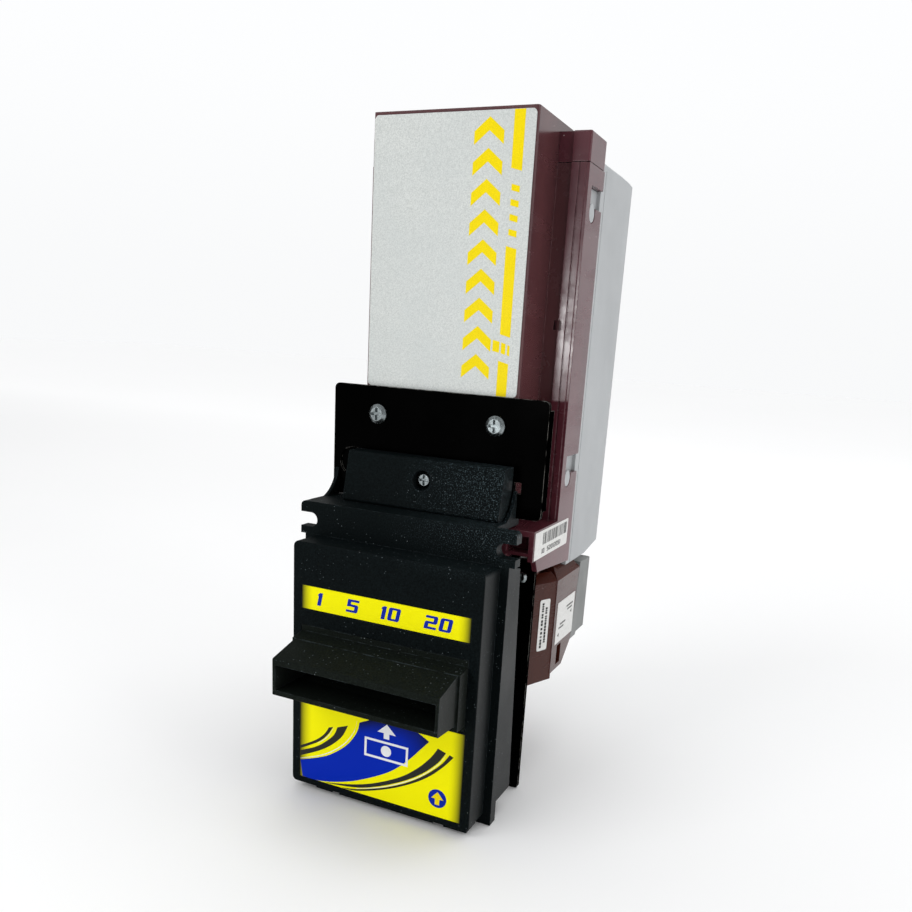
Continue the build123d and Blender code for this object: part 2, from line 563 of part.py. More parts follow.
leg_places = [(x, z) for x in (-LEG_X, LEG_X) for z in (24, 124)]
with BuildPart() as main_frame:
    inner = FRAME_X - FRAME_WALL
    rail = (SHOULDER_TOP - 0.5, FRAME_TOP)
    # side walls with the rail's front lip
    both_sides((inner, FRAME_X), (RAIL_Y, FRAME_REAR), rail)
    both_sides((RAIL_LIP_X, FRAME_X), (RAIL_Y, RAIL_Y + RAIL_LIP_THICK), rail)
    both_sides((MAG_FLANGE_X + GAP, FRAME_X), (RAIL_Y, MAG_FLANGE_REAR + GAP), rail)
    # wall behind the magazine's flange, stepping back to the deck with the note window
    groove = MAG_FLANGE_REAR + GAP
    both_sides((MAG_X + GAP, FRAME_X), (groove, groove + 2.2), rail)
    both_sides((MAG_X + GAP, MAG_X + GAP + 2.2), (groove, DECK_REAR), rail)
    both_sides((WINDOW_X, inner + 0.5), (DECK_FRONT, DECK_REAR), rail)
    block((-WINDOW_X - 1, WINDOW_X + 1), (DECK_FRONT, DECK_REAR), (SHOULDER_TOP - 3, WINDOW_BOTTOM))
    block((-WINDOW_X - 1, WINDOW_X + 1), (DECK_FRONT, DECK_REAR), (WINDOW_TOP, FRAME_TOP))
    # two fine steps along the lip
    step_z = (SHOULDER_TOP, FRAME_TOP + 1)
    both_sides((FRAME_X - 1.3, FRAME_X + 1), (RAIL_Y - 1, RAIL_Y + LIP_STEP), step_z, Mode.SUBTRACT)
    both_sides(LIP_GROOVE, (RAIL_Y - 1, RAIL_Y + LIP_STEP), step_z, Mode.SUBTRACT)
    # shoulder under the magazine, its side walls reaching down behind the lower plate
    shoulder = [
        (SHOULDER_FRONT, SHOULDER_TOP), (FRAME_REAR, SHOULDER_TOP), (FRAME_REAR, SKIRT_WALL_REAR),
        (30, SKIRT_WALL_FRONT), (SHOULDER_FRONT + 4, SHOULDER_BOTTOM), (SHOULDER_FRONT, SHOULDER_BOTTOM),
    ]
    tall = (SHOULDER_BOTTOM, SHOULDER_TOP)
    slab_x(shoulder, (inner, FRAME_X))
    slab_x(shoulder, (-FRAME_X, -inner))
    block((-POCKET_X, POCKET_X), (SHOULDER_FRONT, SHOULDER_FRONT + FRAME_WALL), tall)
    block((-FRAME_X, FRAME_X), (SHOULDER_FRONT, DECK_REAR), (SHOULDER_TOP - FRAME_WALL, SHOULDER_TOP))
    # open pocket behind each ear, with a shelf and a rear wall
    both_sides((POCKET_X - FRAME_WALL, POCKET_X), (SHOULDER_FRONT, POCKET_REAR), tall)
    both_sides((POCKET_X - 1, inner + 0.5), (POCKET_REAR - 1.6, POCKET_REAR), tall)
    both_sides((POCKET_X - 1, inner + 0.5), (SHOULDER_FRONT, POCKET_REAR), (SHELF_Z - 0.7, SHELF_Z + 0.7))
    # posts that carry the upper plate, standing in the magazine's recess
    both_sides((PLATE_SCREW_X - 5.5, PLATE_SCREW_X + 5.5), (plate_back + 0.05, MAG_STEP_Y - GAP),
               (SHOULDER_TOP - 1, 53.5))
    block((-PLATE_SCREW_X, PLATE_SCREW_X), (plate_back + 0.05, MAG_STEP_Y - GAP), (38, 53.5))
    for x in (-PLATE_SCREW_X, PLATE_SCREW_X):
        pin_y(2.0, x, (PLATE_Y, MAG_STEP_Y - 0.6), PLATE_SCREW_Z, Mode.SUBTRACT)
    # seat for the ledge of the bezel
    block((LEDGE_LEFT - GAP, LEDGE_RIGHT + GAP), (SHOULDER_FRONT - 1, LEDGE_REAR + 4 + GAP),
          (SHOULDER_TOP, SHOULDER_TOP + 4), Mode.SUBTRACT)
    # bayonet slots for the rear cover
    for z in BAYONET_ZS:
        for side in (-1, 1):
            wall = (inner - 1, FRAME_X + 1) if side > 0 else (-FRAME_X - 1, 1 - inner)
            rod(BAYONET_R, wall, BAYONET_Y, z, Mode.SUBTRACT)
            block(wall, (BAYONET_Y - BAYONET_R, BAYONET_Y + BAYONET_R), (z, z + BAYONET_LIFT + BAYONET_R),
                  Mode.SUBTRACT)
            block(wall, (BAYONET_Y, FRAME_REAR + 1), (z + 2.2, z + BAYONET_LIFT + BAYONET_R), Mode.SUBTRACT)
        # room inside the wall for the cover's tongue
        both_sides((inner - 3.0, inner), (MAG_FLANGE_REAR, FRAME_REAR + 1),
                   (z - TONGUE_DOWN - 0.5, z + TONGUE_UP + 0.5 + BAYONET_LIFT), Mode.SUBTRACT)
    # latch notch in each rail lip
    both_sides((RAIL_LIP_X - 1, RAIL_LIP_X + 1.4), (RAIL_Y - 1, RAIL_Y + RAIL_LIP_THICK), latch,
               Mode.SUBTRACT)
    # bosses that carry the stacker base
    for x, z in leg_places:
        pin_y(LEG_R, x, (DECK_REAR - 0.5, FRAME_REAR), z)
save(main_frame, "main_frame")

with BuildPart() as serial_label:
    block((FRAME_X, FRAME_X + SIDE_LABEL_THICK), (23.9, 68.2), (-8.6, 3.7))
    fillet(serial_label.edges().filter_by(Axis.X), 0.8)
save(serial_label, "serial_label")

# ---------------------------------------------------------------- rear cover

cover_outline = [
    (COVER_FRONT, COVER_TOP), (COVER_TOP_Y, COVER_TOP), (COVER_REAR, COVER_REAR_TOP),
    (COVER_REAR, COVER_REAR_BOTTOM), (COVER_SLOPE_Y, COVER_BOTTOM), (COVER_FRONT, COVER_BOTTOM),
]
cover_inner_rear = COVER_REAR - COVER_WALL
cover_inside = [
    (COVER_FRONT - 1, COVER_TOP - COVER_WALL), (COVER_TOP_Y, COVER_TOP - COVER_WALL),
    (cover_inner_rear, COVER_REAR_TOP - COVER_WALL), (cover_inner_rear, COVER_REAR_BOTTOM + COVER_WALL),
    (COVER_SLOPE_Y - 0.5, COVER_BOTTOM + COVER_WALL), (COVER_SLOPE_Y - 2.0, COVER_BOTTOM - 1),
    (COVER_FRONT - 1, COVER_BOTTOM - 1),
]
with BuildPart() as rear_cover:
    slab_x(cover_outline, (-COVER_X, COVER_X))
    fillet(rear_cover.edges().filter_by(Axis.Z).group_by(Axis.Y)[-1], 2.5)
    chamfer(rear_cover.faces().sort_by(Axis.Z)[-1].edges().filter_by(Axis.Y), 1.2)
    inside = COVER_X - COVER_WALL
    slab_x(cover_inside, (-inside, inside), Mode.SUBTRACT)
    # tongues that reach inside the frame, each with a bayonet boss
    tongue = (FRAME_X - FRAME_WALL - GAP - 2.2, FRAME_X - FRAME_WALL - GAP)
    for z in BAYONET_ZS:
        tall = (z - TONGUE_DOWN, z + TONGUE_UP)
        both_sides(tongue, (BAYONET_Y - 4.6, COVER_FRONT + 6), tall)
        both_sides((tongue[0], inside + 0.5), (COVER_FRONT + 1, COVER_FRONT + 6), tall)
        rod(BAYONET_R - GAP, (tongue[1] - 0.5, FRAME_X - 0.2), BAYONET_Y, z)
        rod(BAYONET_R - GAP, (0.2 - FRAME_X, 0.5 - tongue[1]), BAYONET_Y, z)
    # fine line behind the front edge
    both_sides((COVER_X - 0.4, COVER_X + 1), (COVER_FRONT + 5.8, COVER_FRONT + 6.4),
               (COVER_BOTTOM - 1, COVER_TOP - 3), Mode.SUBTRACT)
    # opening for the harness connector on the left
    block((-COVER_X - 1, 1 - inside), (98.5, 111.5), (29.0 - BAYONET_LIFT - 1, 63.0), Mode.SUBTRACT)
save(rear_cover, "rear_cover")

# ---------------------------------------------------------------- note path guides


def path_band(inner_r, outer_r, top):
    """Side outline between two radii of the turn, with its level run and its vertical run."""
    with BuildSketch(Plane.YZ) as band:
        with BuildLine():
            Line((GUIDE_START, ARC_Z - outer_r), (ARC_Y, ARC_Z - outer_r))
            RadiusArc((ARC_Y, ARC_Z - outer_r), (ARC_Y + outer_r, ARC_Z), -outer_r)
            Line((ARC_Y + outer_r, ARC_Z), (ARC_Y + outer_r, top))
            Line((ARC_Y + outer_r, top), (ARC_Y + inner_r, top))
            Line((ARC_Y + inner_r, top), (ARC_Y + inner_r, ARC_Z))
            RadiusArc((ARC_Y + inner_r, ARC_Z), (ARC_Y, ARC_Z - inner_r), inner_r)
            Line((ARC_Y, ARC_Z - inner_r), (GUIDE_START, ARC_Z - inner_r))
            Line((GUIDE_START, ARC_Z - inner_r), (GUIDE_START, ARC_Z - outer_r))
        make_face()
    return band.sketch


def band_x(inner_r, outer_r, top, x):
    extrude(to_extrude=Pos(x[0], 0, 0) * path_band(inner_r, outer_r, top), amount=x[1] - x[0], dir=(1, 0, 0))


feed_axis = turn_point(PATH_R + FEED_R, FEED_ANGLE)
pinch_axis = turn_point(PATH_R - PINCH_R - GAP, FEED_ANGLE)
exit_pinch_axis = (DRIVE_YZ[0] - BELT_OUTER - GAP - PINCH_R, DRIVE_YZ[1])
outer_face = PATH_R + CHANNEL_HALF
inner_face = PATH_R - CHANNEL_HALF
roller_slot = (ROLLER_X - ROLLER_WIDE / 2 - 1, ROLLER_X + ROLLER_WIDE / 2 + 1)

with BuildPart() as lower_path_guide:
    band_x(outer_face, outer_face + GUIDE_THICK, GUIDE_TOP, (-GUIDE_X, GUIDE_X))
    for x in ((-GUIDE_X, -GUIDE_X + 1.5), (GUIDE_X - 1.5, GUIDE_X)):
        band_x(inner_face - GUIDE_THICK, outer_face + GUIDE_THICK, GUIDE_TOP, x)
    # windows for the feed rollers and the belts, and for the lens
    for x in (roller_slot, (-roller_slot[1], -roller_slot[0])):
        rod(FEED_R + 1, x, feed_axis[0], feed_axis[1], Mode.SUBTRACT)
        rod(BELT_OUTER + 1, x, DRIVE_YZ[0], DRIVE_YZ[1], Mode.SUBTRACT)
        block(x, (outer_face + ARC_Y - 1, outer_face + ARC_Y + 4), (DRIVE_YZ[1], GUIDE_TOP + 1),
              Mode.SUBTRACT)
    block((-30.1, 30.1), (19.9, 26.1), (PATH_Z - 5, PATH_Z - 1), Mode.SUBTRACT)
    # relief for the pinch rollers' shafts
    for axis_point in (pinch_axis, exit_pinch_axis):
        rod(PINCH_SHAFT_R + GAP, (-GUIDE_X - 1, GUIDE_X + 1), *axis_point, Mode.SUBTRACT)
save(lower_path_guide, "lower_path_guide")

with BuildPart() as upper_path_guide:
    band_x(inner_face - GUIDE_THICK, inner_face, GUIDE_TOP, (-GUIDE_X + 1.6, GUIDE_X - 1.6))
    for x in (roller_slot, (-roller_slot[1], -roller_slot[0])):
        rod(PINCH_R + 1, x, pinch_axis[0], pinch_axis[1], Mode.SUBTRACT)
        rod(PINCH_R + 1, x, exit_pinch_axis[0], exit_pinch_axis[1], Mode.SUBTRACT)
    block((-30.1, 30.1), (19.9, 26.1), (PATH_Z + 1, PATH_Z + 5), Mode.SUBTRACT)
    for axis_point in (pinch_axis, exit_pinch_axis):
        rod(PINCH_SHAFT_R + GAP, (-GUIDE_X - 1, GUIDE_X + 1), *axis_point, Mode.SUBTRACT)
save(upper_path_guide, "upper_path_guide")

for name, low in (("upper_lens", PATH_Z + CHANNEL_HALF), ("lower_lens", PATH_Z - CHANNEL_HALF - 4)):
    with BuildPart() as lens:
        block((-30, 30), (20, 26), (low, low + 4))
    save(lens, name)

for name, low in (("upper_sensor_board", PATH_Z + CHANNEL_HALF + 4),
                  ("lower_sensor_board", PATH_Z - CHANNEL_HALF - 5.2)):
    with BuildPart() as board:
        block((-34, 34), (13, 35), (low, low + 1.2))
        chips = (low + 1.2, low + 2.8) if low > PATH_Z else (low - 1.6, low)
        for x in (-22, -8, 8, 22):
            block((x - 3, x + 3), (20, 25), chips)
    save(board, name)

# ---------------------------------------------------------------- lower housing

housing_outline = [
    (HOUSING_FRONT, HOUSING_TOP), (HOUSING_FRONT, HOUSING_BOTTOM), (HOUSING_KEEL_Y, HOUSING_BOTTOM),
    (HOUSING_BACK_LOW, HOUSING_BACK_LOW_Z), (HOUSING_BACK_TOP, HOUSING_TOP),
]
inset = HOUSING_WALL
housing_inside = [
    (HOUSING_FRONT + inset, HOUSING_TOP + 1), (HOUSING_FRONT + inset, HOUSING_BOTTOM + inset),
    (HOUSING_KEEL_Y - 0.8, HOUSING_BOTTOM + inset), (HOUSING_BACK_LOW - inset, HOUSING_BACK_LOW_Z + 1.0),
    (HOUSING_BACK_TOP - inset, HOUSING_TOP + 1),
]
roof_rise = HOUSING_ROOF - HOUSING_TOP

with BuildPart() as roof_outer:
    for rise, shrink in ((0, 0), (roof_rise, roof_rise * 0.8)):
        with BuildSketch(Plane.XY.offset(HOUSING_TOP + rise)):
            with Locations((0, (HOUSING_FRONT + HOUSING_BACK_TOP) / 2)):
                Rectangle(2 * (HOUSING_X - shrink), HOUSING_BACK_TOP - HOUSING_FRONT - 2 * shrink)
    loft()

with BuildPart() as roof_inner:
    for rise, shrink in ((0, inset), (roof_rise, roof_rise * 0.8 + inset)):
        with BuildSketch(Plane.XY.offset(HOUSING_TOP + rise)):
            with Locations((0, (HOUSING_FRONT + HOUSING_BACK_TOP) / 2)):
                Rectangle(2 * (HOUSING_X - shrink), HOUSING_BACK_TOP - HOUSING_FRONT - 2 * shrink)
    loft()

# neck on the front of the housing: square on the gear side, tapering on the other
neck_rear_y = HOUSING_FRONT + 1.0
neck_steps = ((lower_plate_back + 0.1, NECK_LEFT, NECK_RIGHT), (neck_rear_y, -HOUSING_X, HOUSING_X))


def neck_loft(inset, bottom, top):
    """Loft between the neck's two end rectangles, drawn in by the inset."""
    with BuildPart() as neck:
        for y, left, right in neck_steps:
            with BuildSketch(Plane.XZ.offset(-y)):
                with Locations(((left + right) / 2, (bottom + top) / 2)):
                    Rectangle(right - left - 2 * inset, top - bottom)
        loft()
    return neck.part


neck_outer = neck_loft(0, NECK_BOTTOM, NECK_TOP)
neck_outer = chamfer(neck_outer.faces().sort_by(Axis.Z)[-1].edges().sort_by(Axis.X)[-1], NECK_CHAMFER)
neck_inner = neck_loft(inset, NECK_BOTTOM + inset, NECK_TOP - inset - 1.2)

idler_axis = meet(feed_axis, (FEED_TEETH + IDLER_TEETH) * MODULE / 2,
                  DRIVE_YZ, (DRIVE_TEETH + IDLER_TEETH) * MODULE / 2, 1)
motor_reach = (DRIVE_TEETH + MOTOR_TEETH) * MODULE / 2
motor_axis = (DRIVE_YZ[0] + MOTOR_OFFSET_Y, DRIVE_YZ[1] - math.sqrt(motor_reach ** 2 - MOTOR_OFFSET_Y ** 2))
cheek = (CHEEK_X, CHEEK_X + CHEEK_THICK)
gearbox_x = (-LOWER_PLATE_X, -LOWER_PLATE_X + 2.2)
neck_y = (lower_plate_back + 0.1, HOUSING_FRONT + 3)

with BuildPart() as lower_housing:
    slab_x(housing_outline, (-HOUSING_X, HOUSING_X))
    add(roof_outer.part)
    slab_x(housing_inside, (-HOUSING_X + inset, HOUSING_X - inset), Mode.SUBTRACT)
    add(roof_inner.part, mode=Mode.SUBTRACT)
    add(neck_outer)
    add(neck_inner, mode=Mode.SUBTRACT)
    # front window for the path and the gears, rear window behind the path door
    block((-44.5, CHEEK_X), (HOUSING_FRONT - 1, HOUSING_FRONT + 3), (HOUSING_BOTTOM + 3, HOUSING_TOP + 12),
          Mode.SUBTRACT)
    block((-CHEEK_X, CHEEK_X), (HOUSING_BACK_LOW - 4, HOUSING_BACK_TOP + 1), (-58, -30), Mode.SUBTRACT)
    block((-CHEEK_X, CHEEK_X), (HOUSING_FRONT - 1, HOUSING_FRONT + 10), (HOUSING_TOP - 1, HOUSING_ROOF + 1),
          Mode.SUBTRACT)
    # neck: open over a deeper trough for the gears, with cheeks that reach forward to the lower plate
    block((gearbox_x[1], CHEEK_X), (neck_y[0] - 1, HOUSING_FRONT + 3),
          (NECK_BOTTOM - 1, NECK_BOTTOM + 2 * inset), Mode.SUBTRACT)
    both_sides(cheek, neck_y, (NECK_FLOOR, -12))
    both_sides(cheek, (HOUSING_FRONT, 88), (-70, -20))
    both_sides(cheek, (HOUSING_FRONT, HOUSING_KEEL_Y - 2), (HOUSING_BOTTOM + 1, -60))
    block(gearbox_x, (neck_y[0], HOUSING_FRONT + 1), (NECK_FLOOR, -30))
    block((gearbox_x[0], cheek[1]), neck_y, (NECK_FLOOR, NECK_FLOOR + 2.0))
    # latch tabs and side slots
    both_sides((45, 50), (HOUSING_FRONT + 1, HOUSING_FRONT + 5), (HOUSING_BOTTOM - 2.6, HOUSING_BOTTOM + 1))
    both_sides((HOUSING_X - 4, HOUSING_X + 1), (69, 75), (-71, -61), Mode.SUBTRACT)
    # screw bosses behind the lower plate
    for x, z in housing_screw_places:
        pin_y(3.4, x, (neck_y[0], neck_y[0] + 12), z)
    both_sides((cheek[1] - 1, 41.8), (neck_y[0], neck_y[0] + 12), (-21.5, -18.5))
    both_sides((18.5, 21.5), (neck_y[0], neck_y[0] + 12), (-83, NECK_FLOOR + 1))
    for x, z in housing_screw_places:
        pin_y(1.15, x, (neck_y[0] - 1, neck_y[0] + 10), z, Mode.SUBTRACT)
    # hinge knuckles of the path door
    py, pz = DOOR_PIVOT
    both_sides((30, 38), (84, py), (pz - 1.8, HOUSING_BACK_LOW_Z - 0.1))
    for x in ((30, 38), (-38, -30)):
        rod(2.4, x, py, pz)
        rod(1.3, x, py, pz, Mode.SUBTRACT)
    # bores for the shafts
    through = (-CHEEK_X - CHEEK_THICK - 1, CHEEK_X + CHEEK_THICK + 1)
    for axis_point in (feed_axis, DRIVE_YZ):
        rod(SHAFT_R + 1.6, through, axis_point[0], axis_point[1], Mode.SUBTRACT)
    for axis_point in (pinch_axis, exit_pinch_axis):
        rod(PINCH_SHAFT_R + RUNNING, through, axis_point[0], axis_point[1], Mode.SUBTRACT)
    rod(1.5, (-CHEEK_X - CHEEK_THICK - 1, -CHEEK_X + 1), idler_axis[0], idler_axis[1], Mode.SUBTRACT)
    rod(3.1, (-CHEEK_X - CHEEK_THICK - 1, -CHEEK_X + 1), motor_axis[0], motor_axis[1], Mode.SUBTRACT)
save(lower_housing, "lower_housing")

# label on the neck's tapering side
taper = (HOUSING_X - NECK_RIGHT, neck_rear_y - neck_steps[0][0])
neck_angle = math.atan2(*taper)
label_x = HOUSING_X - (neck_rear_y - FRONT_LABEL_Y) * taper[0] / taper[1]
half_thick = SIDE_LABEL_THICK / 2
front_label_centre = (label_x + half_thick * math.cos(neck_angle),
                      FRONT_LABEL_Y - half_thick * math.sin(neck_angle), FRONT_LABEL_Z)
with BuildPart() as front_label:
    with Locations(Location(front_label_centre, (0, 0, -math.degrees(neck_angle)))):
        Box(SIDE_LABEL_THICK, FRONT_LABEL_WIDE, FRONT_LABEL_TALL)
    fillet(front_label.edges().sort_by(SortBy.LENGTH)[:4], 1.0)
save(front_label, "front_label")

with BuildPart() as side_label:
    block((HOUSING_X, HOUSING_X + SIDE_LABEL_THICK), (64.5, 91.0), (-59.5, -38.0))
save(side_label, "side_label")

door_front = 0.5
door_outline = [
    (HOUSING_BACK_TOP + door_front + 0.4, -23.8), (DOOR_REAR, -24.6), (DOOR_REAR, -62.3),
    (99.6, -62.3), (98.4, -63.8), (HOUSING_BACK_LOW + door_front, -63.8),
]
with BuildPart() as path_door:
    slab_x(door_outline, (-HOUSING_X, HOUSING_X))
    fillet(path_door.edges().filter_by(Axis.Z).group_by(Axis.Y)[-1], 3.0)
    slab_x([(HOUSING_BACK_TOP - 3, -26.4), (DOOR_REAR - DOOR_WALL, -26.7), (DOOR_REAR - DOOR_WALL, -60.3),
            (99.0, -60.3), (97.8, -61.8), (HOUSING_BACK_LOW - 3, -61.8)],
           (-HOUSING_X + DOOR_WALL, HOUSING_X - DOOR_WALL), Mode.SUBTRACT)
    both_sides((20, 29.6), (py - 0.3, py + 1.8), (pz, -63.0))
    for x in ((20, 29.6), (-29.6, -20)):
        rod(2.4, x, py, pz)
        rod(1.3 + RUNNING, x, py, pz, Mode.SUBTRACT)
save(path_door, "path_door")

with BuildPart() as door_pins:
    for x in ((19, 38), (-38, -19)):
        rod(1.3, x, py, pz)
save(door_pins, "door_pins")

# ---------------------------------------------------------------- transport

drive_to_idler = direction(DRIVE_YZ, idler_axis)
drive_turn = drive_to_idler
idler_turn = mesh_turn(drive_turn, DRIVE_TEETH, IDLER_TEETH, drive_to_idler)
feed_turn = mesh_turn(idler_turn, IDLER_TEETH, FEED_TEETH, direction(idler_axis, feed_axis))
motor_turn = mesh_turn(drive_turn, DRIVE_TEETH, MOTOR_TEETH, direction(DRIVE_YZ, motor_axis))
shaft_x = (-44.5, CHEEK_X + CHEEK_THICK + 2.4)
roller_spans = [(side * ROLLER_X - ROLLER_WIDE / 2, side * ROLLER_X + ROLLER_WIDE / 2) for side in (-1, 1)]

for name, axis_point in (("feed_shaft", feed_axis), ("drive_shaft", DRIVE_YZ)):
    with BuildPart() as shaft:
        rod(SHAFT_R, shaft_x, axis_point[0], axis_point[1])
    save(shaft, name)

with BuildPart() as feed_rollers:
    for span in roller_spans:
        rod(FEED_R, span, feed_axis[0], feed_axis[1])
        rod(SHAFT_R, span, feed_axis[0], feed_axis[1], Mode.SUBTRACT)
save(feed_rollers, "feed_rollers")

with BuildPart() as feed_gear:
    gear(FEED_TEETH, MODULE, feed_turn, SHAFT_R, (GEAR_X0, GEAR_X1), *feed_axis)
save(feed_gear, "feed_gear")

with BuildPart() as drive_gear:
    gear(DRIVE_TEETH, MODULE, drive_turn, SHAFT_R, (GEAR_X0, GEAR_X1), *DRIVE_YZ)
save(drive_gear, "drive_gear")

with BuildPart() as idler_gear:
    gear(IDLER_TEETH, MODULE, idler_turn, 1.5 + RUNNING, (GEAR_X0, GEAR_X1), *idler_axis)
save(idler_gear, "idler_gear")

with BuildPart() as idler_axle:
    rod(1.5, (-44.4, -CHEEK_X), *idler_axis)
    rod(2.6, (-44.4, -43.3), *idler_axis)
save(idler_axle, "idler_axle")

with BuildPart() as shaft_bushes:
    for y, z in (feed_axis, DRIVE_YZ):
        for span, lip in (((-CHEEK_X - CHEEK_THICK, -CHEEK_X), (-CHEEK_X, -CHEEK_X + 0.7)),
                          ((CHEEK_X, CHEEK_X + CHEEK_THICK), (CHEEK_X - 0.7, CHEEK_X))):
            rod(SHAFT_R + 1.6, span, y, z)
            rod(SHAFT_R + 1.9, lip, y, z)
            rod(SHAFT_R + RUNNING, (span[0] - 1, span[1] + 1), y, z, Mode.SUBTRACT)
save(shaft_bushes, "shaft_bushes")


def pulley_pair(y, z):
    """Two flanged belt pulleys on a shaft along X."""
    for side in (-1, 1):
        middle = side * ROLLER_X
        rod(PULLEY_R, (middle - 3.0, middle + 3.0), y, z)
        for edge in (-1, 1):
            low = middle + edge * 3.3 - 0.3
            rod(BELT_INNER + 0.7, (low, low + 0.6), y, z)
        rod(SHAFT_R, (middle - 4, middle + 4), y, z, Mode.SUBTRACT)


with BuildPart() as drive_pulleys:
    pulley_pair(*DRIVE_YZ)
save(drive_pulleys, "drive_pulleys")

with BuildPart() as upper_pulleys:
    pulley_pair(DRIVE_YZ[0], UPPER_Z)
save(upper_pulleys, "upper_pulleys")

with BuildPart() as upper_shaft:
    rod(SHAFT_R, (-37.5, 37.5), DRIVE_YZ[0], UPPER_Z)
save(upper_shaft, "upper_shaft")

with BuildPart() as transport_belts:
    for side in (-1, 1):
        middle = side * ROLLER_X
        with BuildSketch(Plane.YZ.offset(middle - BELT_WIDE / 2)):
            with Locations((DRIVE_YZ[0], (DRIVE_YZ[1] + UPPER_Z) / 2)):
                SlotCenterToCenter(UPPER_Z - DRIVE_YZ[1], 2 * BELT_OUTER, rotation=90)
                SlotCenterToCenter(UPPER_Z - DRIVE_YZ[1], 2 * BELT_INNER, rotation=90, mode=Mode.SUBTRACT)
        extrude(amount=BELT_WIDE)
save(transport_belts, "transport_belts")

for name, axis_point in (("feed_pinch_rollers", pinch_axis), ("exit_pinch_rollers", exit_pinch_axis)):
    with BuildPart() as pinch:
        rod(PINCH_SHAFT_R, (-CHEEK_X - CHEEK_THICK + 0.2, CHEEK_X + CHEEK_THICK - 0.2), *axis_point)
        for span in roller_spans:
            rod(PINCH_R, span, *axis_point)
    save(pinch, name)

with BuildPart() as transport_motor:
    rod(MOTOR_R, (-21, 13), *motor_axis)
    fillet(transport_motor.edges().filter_by(GeomType.CIRCLE), 0.8)
    rod(3.0, (-CHEEK_X - CHEEK_THICK, -20), *motor_axis)
    rod(2.4, (12.5, 14.5), *motor_axis)
    rod(1.0 + RUNNING, (-CHEEK_X - CHEEK_THICK - 1, -24), *motor_axis, Mode.SUBTRACT)
save(transport_motor, "transport_motor")

with BuildPart() as motor_pinion:
    gear(MOTOR_TEETH, MODULE, motor_turn, 0, (GEAR_X0, GEAR_X1), *motor_axis)
    rod(1.0, (GEAR_X1 - 0.5, -25), *motor_axis)
save(motor_pinion, "motor_pinion")

# ---------------------------------------------------------------- stacker

rack_r = PINION_TEETH * STACK_MODULE / 2
stack_axis = (STACK_Y, RACK_PITCH_Z + rack_r)
stack_motor_axis = (STACK_Y, stack_axis[1] + (STACK_GEAR_TEETH + STACK_MOTOR_TEETH) * STACK_GEAR_MODULE / 2)
stack_down = -math.pi / 2
stack_gear_turn = 0.0
stack_motor_turn = mesh_turn(stack_gear_turn, STACK_GEAR_TEETH, STACK_MOTOR_TEETH, math.pi / 2)
guide_posts = ((0, 30.0), (0, 132.0))
board_posts = [(x, z) for x in (-40, 40) for z in (22, 134)]

with BuildPart() as stacker_base:
    block((-46, 46), (BASE_FRONT, BASE_REAR), (16, 152))
    fillet(stacker_base.edges().filter_by(Axis.Y), 2.0)
    # window for the racks
    block((-RACK_X - 4, RACK_X + 4), (BASE_FRONT - 1, BASE_REAR + 1), (76, 99), Mode.SUBTRACT)
    # legs forward to the frame, lugs for the upper shaft and for the stacker shaft
    for x, z in leg_places:
        pin_y(LEG_R, x, (FRAME_REAR, BASE_FRONT + 0.5), z)
    both_sides((33.5, 36.5), (70, BASE_FRONT + 0.5), (UPPER_Z - 7, UPPER_Z + 7))
    both_sides((22.0, 24.0), (73, BASE_FRONT + 0.5), (86, 96))
    both_sides((5.5, 7.5), (73, BASE_FRONT + 0.5), (95.2, 111))
    rod(SHAFT_R + RUNNING, (-38, 38), DRIVE_YZ[0], UPPER_Z, Mode.SUBTRACT)
    rod(SHAFT_R + RUNNING, (-25, 25), stack_axis[0], stack_axis[1], Mode.SUBTRACT)
    rod(7.5, (-14, 14), stack_motor_axis[0], stack_motor_axis[1], Mode.SUBTRACT)
    # bosses for the pusher's guide posts and for the circuit board
    for x, z in guide_posts:
        pin_y(5.0, x, (82, BASE_REAR), z)
        pin_y(2.5 + RUNNING, x, (80, BASE_REAR + 1), z, Mode.SUBTRACT)
    for x, z in board_posts:
        pin_y(3.0, x, (BASE_REAR, BOARD_Y), z)
        pin_y(1.2, x, (BOARD_Y - 8, BOARD_Y + 1), z, Mode.SUBTRACT)
save(stacker_base, "stacker_base")

with BuildPart() as pusher_plate:
    block((-PUSHER_X, PUSHER_X), (PUSHER_FRONT, PUSHER_REAR), (20, 142))
    fillet(pusher_plate.edges().filter_by(Axis.Y), 3.0)
    for z in (50, 110):
        block((-10, 10), (PUSHER_FRONT - 1, PUSHER_REAR + 1), (z - 8, z + 8), Mode.SUBTRACT)
    for x, z in guide_posts:
        pin_y(2.5, x, (PUSHER_REAR - 0.5, 104), z)
save(pusher_plate, "pusher_plate")

rack_pitch = math.pi * STACK_MODULE
rack_teeth = 10
with BuildPart() as pusher_racks:
    half_mid = rack_pitch / 4 - 0.09
    lean = math.tan(math.radians(20))
    tip_half = half_mid - 0.85 * STACK_MODULE * lean
    root_half = half_mid + 1.1 * STACK_MODULE * lean
    tip_z, root_z = RACK_PITCH_Z + 0.85 * STACK_MODULE, RACK_PITCH_Z - 1.1 * STACK_MODULE
    outline = [(PUSHER_REAR, RACK_PITCH_Z - 4.5), (PUSHER_REAR, root_z)]
    for i in range(rack_teeth):
        middle = STACK_Y + (i - 2 + 0.5) * rack_pitch
        outline += [(middle - root_half, root_z), (middle - tip_half, tip_z), (middle + tip_half, tip_z),
                    (middle + root_half, root_z)]
    end_y = STACK_Y + (rack_teeth - 1) * rack_pitch
    outline += [(end_y, root_z), (end_y, RACK_PITCH_Z - 4.5)]
    for side in (-1, 1):
        slab_x(outline, (side * RACK_X - RACK_WIDE / 2, side * RACK_X + RACK_WIDE / 2))
save(pusher_racks, "pusher_racks")

